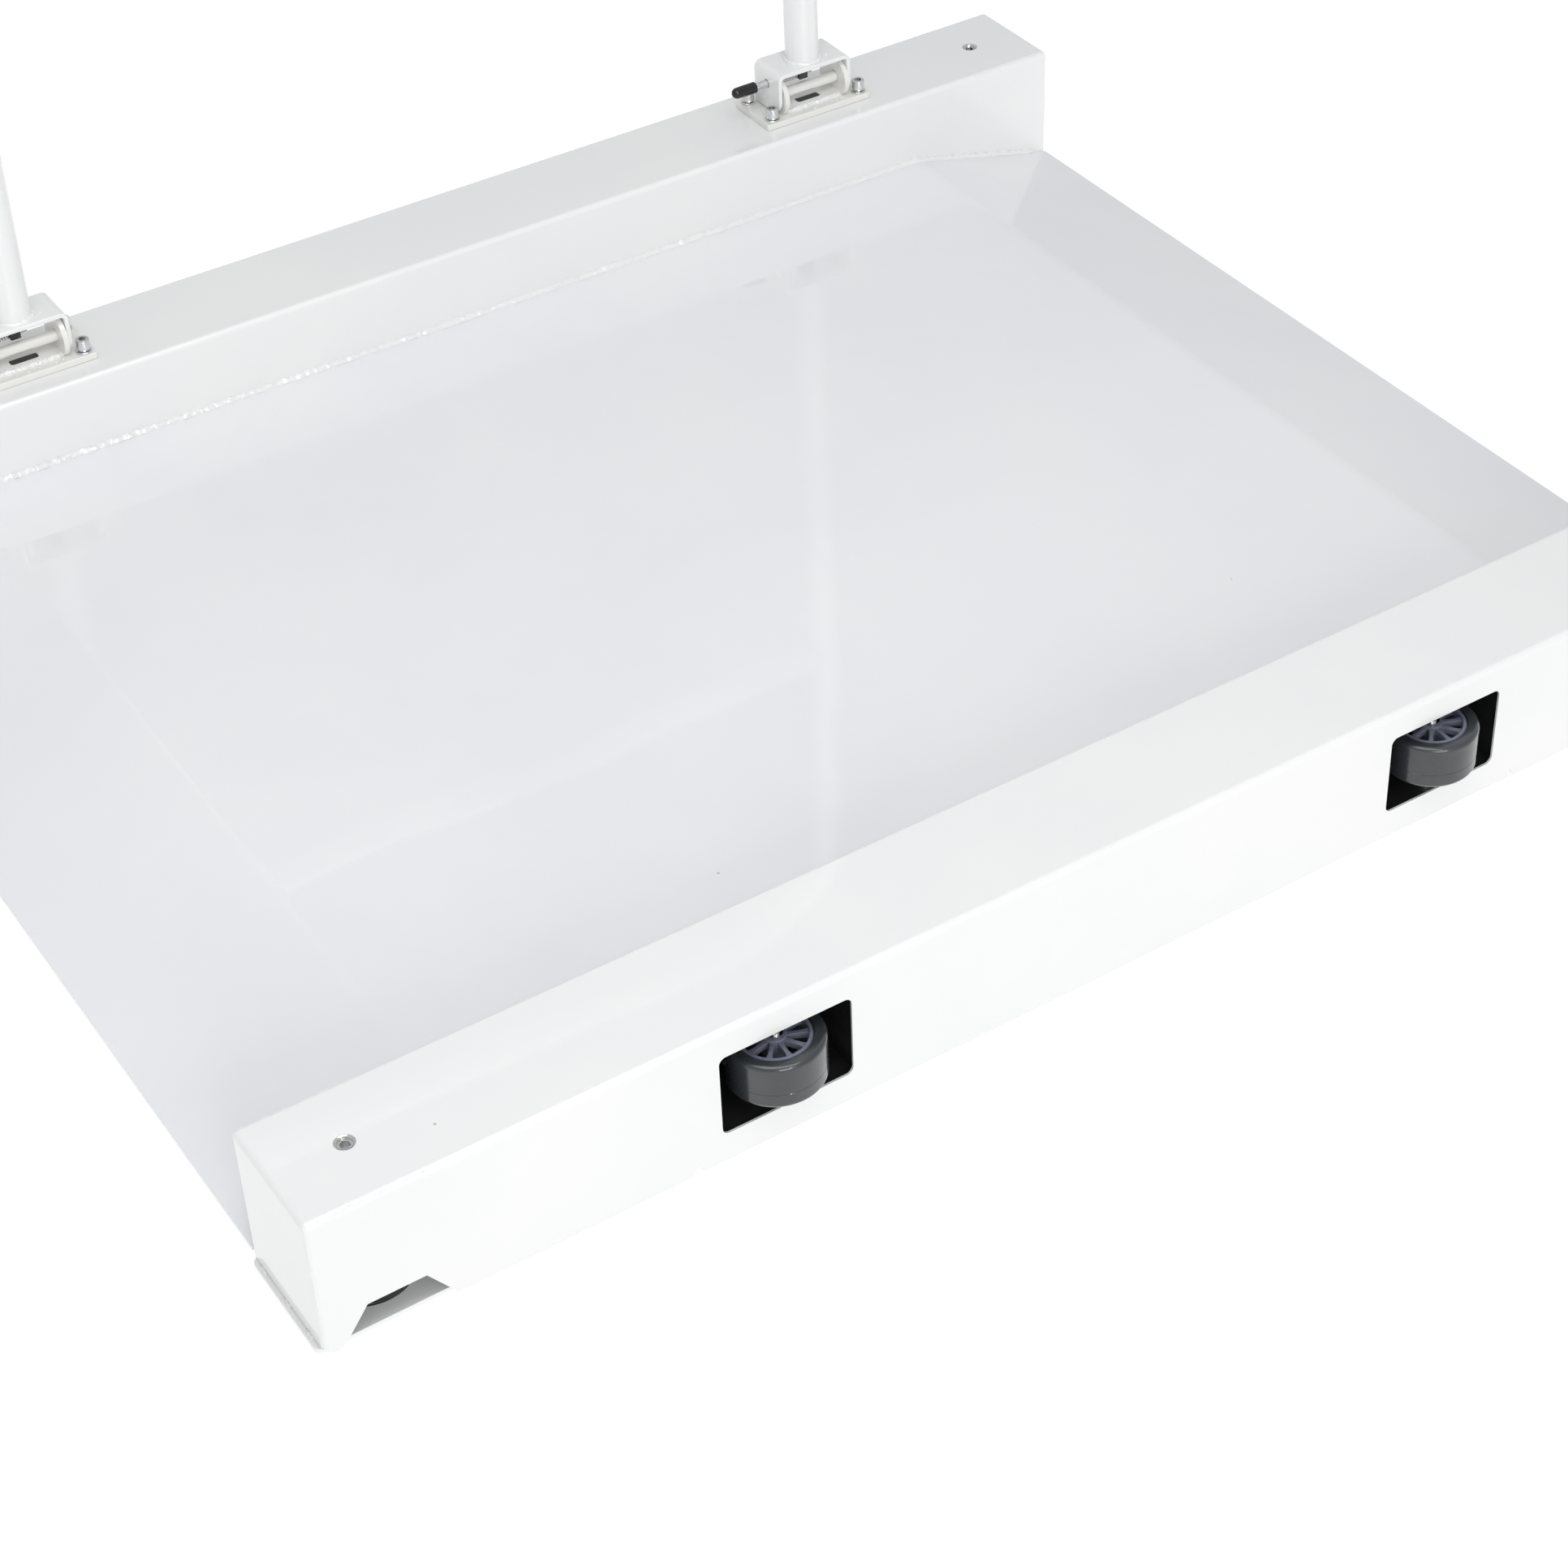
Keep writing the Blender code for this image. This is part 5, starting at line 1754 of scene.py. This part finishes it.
    def screw(self, x: float, y: float) -> BMesh:
        """A socket cap screw: knurled head, key socket, split spring washer and flat washer.

        Args:
            x: Its place along the beam.
            y: Its place across the beam.

        Returns:
            The screw and its washers.
        """
        seat = self.top + 0.1 * MM
        flat, spring, head, radius = self.flat_washer, self.spring_washer, self.head_height, self.head_radius
        bore = self.washer_bore
        washer = turned([(bore, seat), (5.8 * MM, seat), (6 * MM, seat + 0.3 * MM),
                         (6 * MM, seat + flat - 0.3 * MM), (5.7 * MM, seat + flat), (bore, seat + flat)],
                        (x, y, 0), steps=48)
        turn_count = 40
        helix = [Vector((x + 4.0 * MM * math.cos(turn), y + 4.0 * MM * math.sin(turn),
                         seat + flat + (0.75 + 0.45 * step / turn_count) * MM))
                 for step, turn in ((step, 0.4 + step * (math.tau - 0.16) / turn_count)
                                    for step in range(turn_count + 1))]
        coil = swept(helix, lambda share, turn: 0.85 * MM, UP, 8)
        under = seat + flat + spring
        bm = bmesh.new()
        bmesh.ops.create_cone(bm, cap_ends=True, segments=72, radius1=radius, radius2=radius, depth=head,
                              matrix=Matrix.Translation((x, y, under + head / 2)))
        shrink = (radius - self.knurl) / radius
        for index, vert in enumerate(sorted(bm.verts, key=lambda v: math.atan2(v.co.y - y, v.co.x - x))):
            if (index // 2) % 2:
                vert.co.x, vert.co.y = x + (vert.co.x - x) * shrink, y + (vert.co.y - y) * shrink
        top = under + head
        bevelled(bm, lambda edge: min(vert.co.z for vert in edge.verts) > top - PAST, 0.5 * MM, 2)
        bm = carved(bm, cuts=[hexagon(self.key_across, top - self.key_depth, top + PAST, (x, y, 0))])
        shank = cylinder(self.screw_radius, seat - 10 * MM, under + PAST / 2, (x, y, 0), steps=24)
        return together(washer, coil, bm, shank)

    def post_weld(self) -> BMesh:
        """The fillet where the post stands on the fork, with a little spatter.

        Returns:
            The bead and drops.
        """
        centre = Vector((self.x, self.y, self.fork_high.z))
        bead = weld(ring(centre, 14.3 * MM, 120), 2.1 * MM, UP, closed=True, lumps=0.22,
                    seed=self.x * 7, sides=12)
        places = ((-19, -7), (-20.5, -4), (-17, -10), (18, -8))
        return together(bead, *spatter(centre, places, 0.55 * MM, 0.12 * MM))

    def build(self) -> None:
        """Builds the hinge."""
        platform, rail = Body.PLATFORM.value, Body.HANDRAIL.value
        piece(f"hinge_bracket_{self.label}", self.base(), self.looks.cream, platform,
              [f"hinge_base_{self.label}"], edge=0.35 * MM)
        low = self.plate_low.z
        # A black block that fills the slot under the pin almost to the top: painted shade standing in for the
        # dark depth of the slot.
        slot_shadow_block = bevelled(block((self.x - 10.6 * MM, self.pin.y - 3.7 * MM, low + 0.2 * MM),
                               (self.x + 10.6 * MM, self.pin.y + 3.7 * MM, self.top + self.floor - 0.4 * MM)),
                         lambda edge: True, 0.6 * MM, 2)
        piece(f"painted_shade_slot_{self.label}", slot_shadow_block, self.looks.black, platform)
        piece(f"hinge_welds_{self.label}", self.base_welds(), self.looks.bead, platform)
        piece(f"hinge_axle_{self.label}",
              cylinder(self.pin_radius, -self.pin_half, self.pin_half, self.pin, Axis.X, 64, 0.6 * MM),
              self.looks.cream, platform, [f"hinge_pin_{self.label}"])
        for index, (x, y) in enumerate(self.screw_places(), start=1):
            piece(f"cap_screw_{self.label}_{index}", self.screw(x, y), self.looks.zinc, platform,
                  [f"hinge_screw_{self.label}_{index}"])
        piece(f"fork_{self.label}", self.fork(), self.looks.paint, rail,
              [f"hinge_fork_{self.label}"], edge=0.6 * MM)
        piece(f"post_weld_{self.label}", self.post_weld(), self.looks.bead, rail)


@dataclass
class Latch:
    """The plunger that locks the rail: rod, cap, coil spring, and the block that guides its tip."""

    label: str
    looks: Looks
    rod: float = 3.15 * MM
    tip: float = 2.3 * MM
    collar: float = 4.2 * MM
    collar_width: float = 1.5 * MM
    coil: float = 3.45 * MM
    wire: float = 0.45 * MM
    turns: int = 7
    steps: int = 24
    shut: float = 0.46

    def __post_init__(self) -> None:
        """Reads the latch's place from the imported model."""
        self.rod_low, self.rod_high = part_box(f"latch_rod_{self.label}")
        self.cap_low, self.cap_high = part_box(f"latch_cap_{self.label}")
        self.block_low, self.block_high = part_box(f"latch_block_{self.label}")
        self.spring_low, self.spring_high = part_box(f"latch_spring_{self.label}")
        self.y = (self.rod_low.y + self.rod_high.y) / 2
        self.z = (self.rod_low.z + self.rod_high.z) / 2
        self.centre = (0.0, self.y, self.z)
        self.collar_end = self.spring_low.x - 0.2 * MM

    def rod_mesh(self) -> BMesh:
        """The plunger: a grooved rod, a collar for the spring and a thin tip.

        Returns:
            The plunger.
        """
        start, end = self.rod_low.x, self.rod_high.x
        collar = self.collar_end - self.collar_width
        groove = self.cap_high.x + 4 * MM
        parts = [(self.rod, start, groove), (self.rod - 0.35 * MM, groove, groove + 0.8 * MM),
                 (self.rod, groove + 0.8 * MM, collar), (self.collar, collar, self.collar_end),
                 (self.tip, self.collar_end, end)]
        return turned(stages(parts, 0.5 * MM), self.centre, Axis.X, 40)

    def cap_mesh(self) -> BMesh:
        """The dipped vinyl cap: a round end, a long body and a soft lip.

        Returns:
            The cap.
        """
        radius = (self.cap_high.z - self.cap_low.z) / 2
        start, end = self.cap_low.x, self.cap_high.x
        dome = [(radius * 0.96 * math.sin(turn), start + radius * (1 - math.cos(turn)))
                for turn in (QUARTER * step / 12 for step in range(13))]
        lip = arc((radius - 0.8 * MM, end - 0.8 * MM), 0.8 * MM, 0, QUARTER, 5)
        bottom = end - 13 * MM
        profile = dome + [(radius, start + 2.2 * radius)] + lip
        profile += [(self.rod + 0.1 * MM, end), (self.rod + 0.1 * MM, bottom), (0.0, bottom)]
        return turned(profile, self.centre, Axis.X, 48)

    def spring_mesh(self) -> BMesh:
        """The coil spring between the collar and the block.

        Returns:
            The spring.
        """
        start, end = self.collar_end + 2 * self.wire, self.block_low.x - self.wire
        count = self.turns * self.steps
        path = []
        for step in range(count + 1):
            share = step / count
            turn = share * self.turns * math.tau
            path.append(Vector((start + share * (end - start), self.y + self.coil * math.cos(turn),
                                self.z + self.coil * math.sin(turn))))
        return swept(path, lambda share, turn: self.wire, Vector((1, 0, 0)), 8)

    def block_mesh(self) -> BMesh:
        """The black guide block.

        Returns:
            The block.
        """
        body = bevelled(block(self.block_low, self.block_high), lambda edge: True, 0.6 * MM, 3)
        bore = cylinder(self.tip + 0.35 * MM, self.block_low.x - PAST, self.block_high.x + PAST, self.centre,
                        Axis.X, 32)
        return carved(body, cuts=[bore])

    def build(self) -> None:
        """Builds the latch; the spring stays on the rail."""
        body, rail = f"latch_{self.label}", Body.HANDRAIL.value
        piece(f"plunger_{self.label}", self.rod_mesh(), self.looks.zinc, body,
              [f"latch_rod_{self.label}"])
        piece(f"plunger_cap_{self.label}", self.cap_mesh(), self.looks.cap, body,
              [f"latch_cap_{self.label}"])
        piece(f"guide_block_{self.label}", self.block_mesh(), self.looks.black, rail,
              [f"latch_block_{self.label}"])
        coil = piece(f"coil_spring_{self.label}", self.spring_mesh(), self.looks.spring, rail,
                     [f"latch_spring_{self.label}"])
        coil.modifiers.clear()
        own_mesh(coil)


# ---------------------------------------------------------------- handrail


@dataclass
class Handrail:
    """The posts, the mid rail and the bent top rail, with their welds."""

    looks: Looks
    wall: float = 2 * MM
    bend: float = 80 * MM

    def __post_init__(self) -> None:
        """Reads the rail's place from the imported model."""
        self.posts = {label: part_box(f"post_{label}") for label, _ in SIDES}
        low, high = self.posts["left"]
        self.radius = (high.x - low.x) / 2
        self.y = (low.y + high.y) / 2
        self.reach = -(low.x + high.x) / 2
        self.mid_low, self.mid_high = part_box("mid_rail")
        self.mid_radius = (self.mid_high.z - self.mid_low.z) / 2
        self.mid_z = (self.mid_high.z + self.mid_low.z) / 2
        self.rail_low, self.rail_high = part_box("top_rail")

    def post(self, label: str, side: int) -> BMesh:
        """One post.

        Args:
            label: Its side.
            side: -1 for left, 1 for right.

        Returns:
            The tube.
        """
        low, _ = self.posts[label]
        start, end = low.z - 0.3 * MM, self.rail_low.z + 0.05 * MM
        inner = self.radius - self.wall
        return turned([(inner, start), (self.radius, start), (self.radius, end), (inner, end)],
                      (side * self.reach, self.y, 0), steps=72)

    def mid_rail(self) -> BMesh:
        """The mid rail, coped to the posts at both ends.

        Returns:
            The tube.
        """
        inner, end = self.mid_radius - self.wall, self.mid_high.x
        tube = turned([(inner, -end), (self.mid_radius, -end), (self.mid_radius, end), (inner, end)],
                      (0, self.y, self.mid_z), Axis.X, 64)
        copes = [cylinder(self.radius - 0.2 * MM, self.mid_z - 2 * self.radius, self.mid_z + 2 * self.radius,
                          (side * self.reach, self.y, 0), steps=72) for _, side in SIDES]
        return carved(tube, cuts=copes)

    def mid_welds(self) -> BMesh:
        """The beads where the mid rail meets the posts.

        Returns:
            The beads.
        """
        beads = []
        for _, side in SIDES:
            path = []
            for step in range(96):
                turn = math.tau * step / 96
                y, z = self.mid_radius * math.cos(turn), self.mid_radius * math.sin(turn)
                x = side * (self.reach - math.sqrt(self.radius ** 2 - y ** 2))
                path.append(Vector((x, self.y + y, self.mid_z + z)))
            beads.append(weld(path, 1.7 * MM, Vector((1, 0, 0)), closed=True, lumps=0.2, seed=side * 3.0))
        return together(*beads)

    def top_rail(self) -> BMesh:
        """The bent tube over both posts, swept along its own line.

        Returns:
            The tube.
        """
        top = self.rail_high.z - self.radius
        corner = top - self.bend
        path = []
        for centre, start, end in ((-self.reach + self.bend, math.pi, QUARTER),
                                   (self.reach - self.bend, QUARTER, 0.0)):
            path += [Vector((x, self.y, z)) for x, z in arc((centre, corner), self.bend, start, end, 24)]
        return swept(path, lambda share, turn: self.radius, Vector((0, 1, 0)), 64)

    def build(self) -> None:
        """Builds the rail."""
        rail = Body.HANDRAIL.value
        for label, side in SIDES:
            piece(f"post_tube_{label}", self.post(label, side), self.looks.paint, rail,
                  [f"post_{label}"])
        piece("mid_tube", self.mid_rail(), self.looks.paint, rail, ["mid_rail"])
        piece("mid_tube_welds", self.mid_welds(), self.looks.bead, rail)
        piece("top_tube", self.top_rail(), self.looks.paint, rail, ["top_rail"])
        rings = [weld(ring(Vector((side * self.reach, self.y, self.rail_low.z)), self.radius - 0.5 * MM, 96),
                      0.9 * MM, UP, closed=True, lumps=0.12, seed=side * 5.0, sides=8)
                 for _, side in SIDES]
        piece("top_tube_seams", together(*rings), self.looks.bead, rail)


# ---------------------------------------------------------------- studio


@dataclass(frozen=True)
class SoftLight:
    """One soft light."""

    name: str
    place: tuple[float, float, float]
    aim: tuple[float, float, float]
    size: Point
    power: float
    colour: Colour = (1.0, 1.0, 1.0)

    def build(self) -> None:
        """Adds the light to the scene."""
        data = bpy.data.lights.new(self.name, "AREA")
        data.shape = "RECTANGLE"
        data.size, data.size_y = self.size
        data.energy = self.power
        data.color = self.colour
        made = bpy.data.objects.new(self.name, data)
        bpy.context.collection.objects.link(made)
        made.location = self.place
        made.rotation_euler = (Vector(self.aim) - Vector(self.place)).to_track_quat("-Z", "Y").to_euler()


@dataclass(frozen=True)
class Studio:
    """The pale floor, the soft lights and the camera."""

    camera_place: tuple[float, float, float] = (-0.98194, -1.67777, 1.44281)
    camera_aim: tuple[float, float, float] = (0.43212, 0.65823, -0.61644)
    camera_roll: float = math.radians(-1.216)
    lens: float = 77.43
    shift: float = 0.06
    world: float = 0.6
    floor_size: float = 60.0

    def floor(self) -> None:
        """A wide pale floor."""
        bm = bmesh.new()
        bmesh.ops.create_grid(bm, x_segments=1, y_segments=1, size=self.floor_size / 2)
        mesh = bpy.data.meshes.new("floor")
        bm.to_mesh(mesh)
        bm.free()
        look = bpy.data.materials.new("floor_white")
        look.use_nodes = True
        shader = look.node_tree.nodes["Principled BSDF"]
        shader.inputs["Base Color"].default_value = (0.16, 0.16, 0.16, 1.0)
        shader.inputs["Roughness"].default_value = 0.9
        shader.inputs["Specular IOR Level"].default_value = 0.0
        shader.inputs["Emission Color"].default_value = (1.0, 1.0, 1.0, 1.0)
        shader.inputs["Emission Strength"].default_value = 0.9
        mesh.materials.append(look)
        made = bpy.data.objects.new("floor", mesh)
        bpy.context.collection.objects.link(made)

    def lights(self) -> None:
        """Soft light from the camera's left, a soft light overhead, a small glint light, and two narrow
        strips.
        """
        world = bpy.data.worlds.new("studio")
        bpy.context.scene.world = world
        world.use_nodes = True
        background = world.node_tree.nodes["Background"]
        background.inputs["Color"].default_value = (0.97, 0.98, 1.0, 1.0)
        background.inputs["Strength"].default_value = self.world
        for light in (
            SoftLight("key", (-1.6, -7.0, 2.9), (0.0, 0.0, 0.0), (3.0, 3.0), 140.0),
            SoftLight("overhead", (-0.35, -0.6, 1.95), (-0.15, 0.1, 0.0), (1.6, 1.2), 16.0),
            SoftLight("glint", (-0.2, -2.5, 2.2), (0.0, 0.0, 0.1), (0.12, 0.12), 2.0),
            SoftLight("strip_left", (-1.2, -2.9, 1.5), (0.0, 0.0, 0.1), (0.04, 1.6), 3.0),
            SoftLight("strip_right", (0.1, -3.0, 1.7), (0.0, 0.0, 0.1), (0.04, 1.6), 3.0),
        ):
            light.build()

    def camera(self) -> None:
        """The camera, above and to the left of the near beam."""
        data = bpy.data.cameras.new("camera")
        data.lens = self.lens
        data.sensor_width = 36.0
        data.shift_x, data.shift_y = -self.shift, -self.shift
        data.clip_end = 100.0
        made = bpy.data.objects.new("camera", data)
        bpy.context.collection.objects.link(made)
        aim = Vector(self.camera_aim).to_track_quat("-Z", "Y")
        turn = Matrix.Rotation(self.camera_roll, 4, "Z")
        made.matrix_world = Matrix.Translation(self.camera_place) @ aim.to_matrix().to_4x4() @ turn
        bpy.context.scene.camera = made

    def build(self) -> None:
        """Builds the studio."""
        bpy.context.scene.view_settings.view_transform = "Standard"
        self.camera()
        self.floor()
        self.lights()


def main() -> None:
    """Builds the studio and every sub-assembly, and writes how large the result is."""
    logging.basicConfig(level=logging.INFO, format="%(message)s")
    Studio().build()
    looks = Looks.build()
    deck = Deck(looks)
    deck.build()
    SideBeam("near", -1, looks, windows=True).build(deck)
    SideBeam("far", 1, looks, windows=False).build(deck)
    for place in ("near", "far"):
        for side, _ in SIDES:
            BeamEnd(f"{place}_{side}", looks).build()
    for label, _ in SIDES:
        TransportWheel(label, looks).build()
        Hinge(label, looks).build()
        Latch(label, looks).build()
    Handrail(looks).build()


if __name__ == "__main__":
    main()
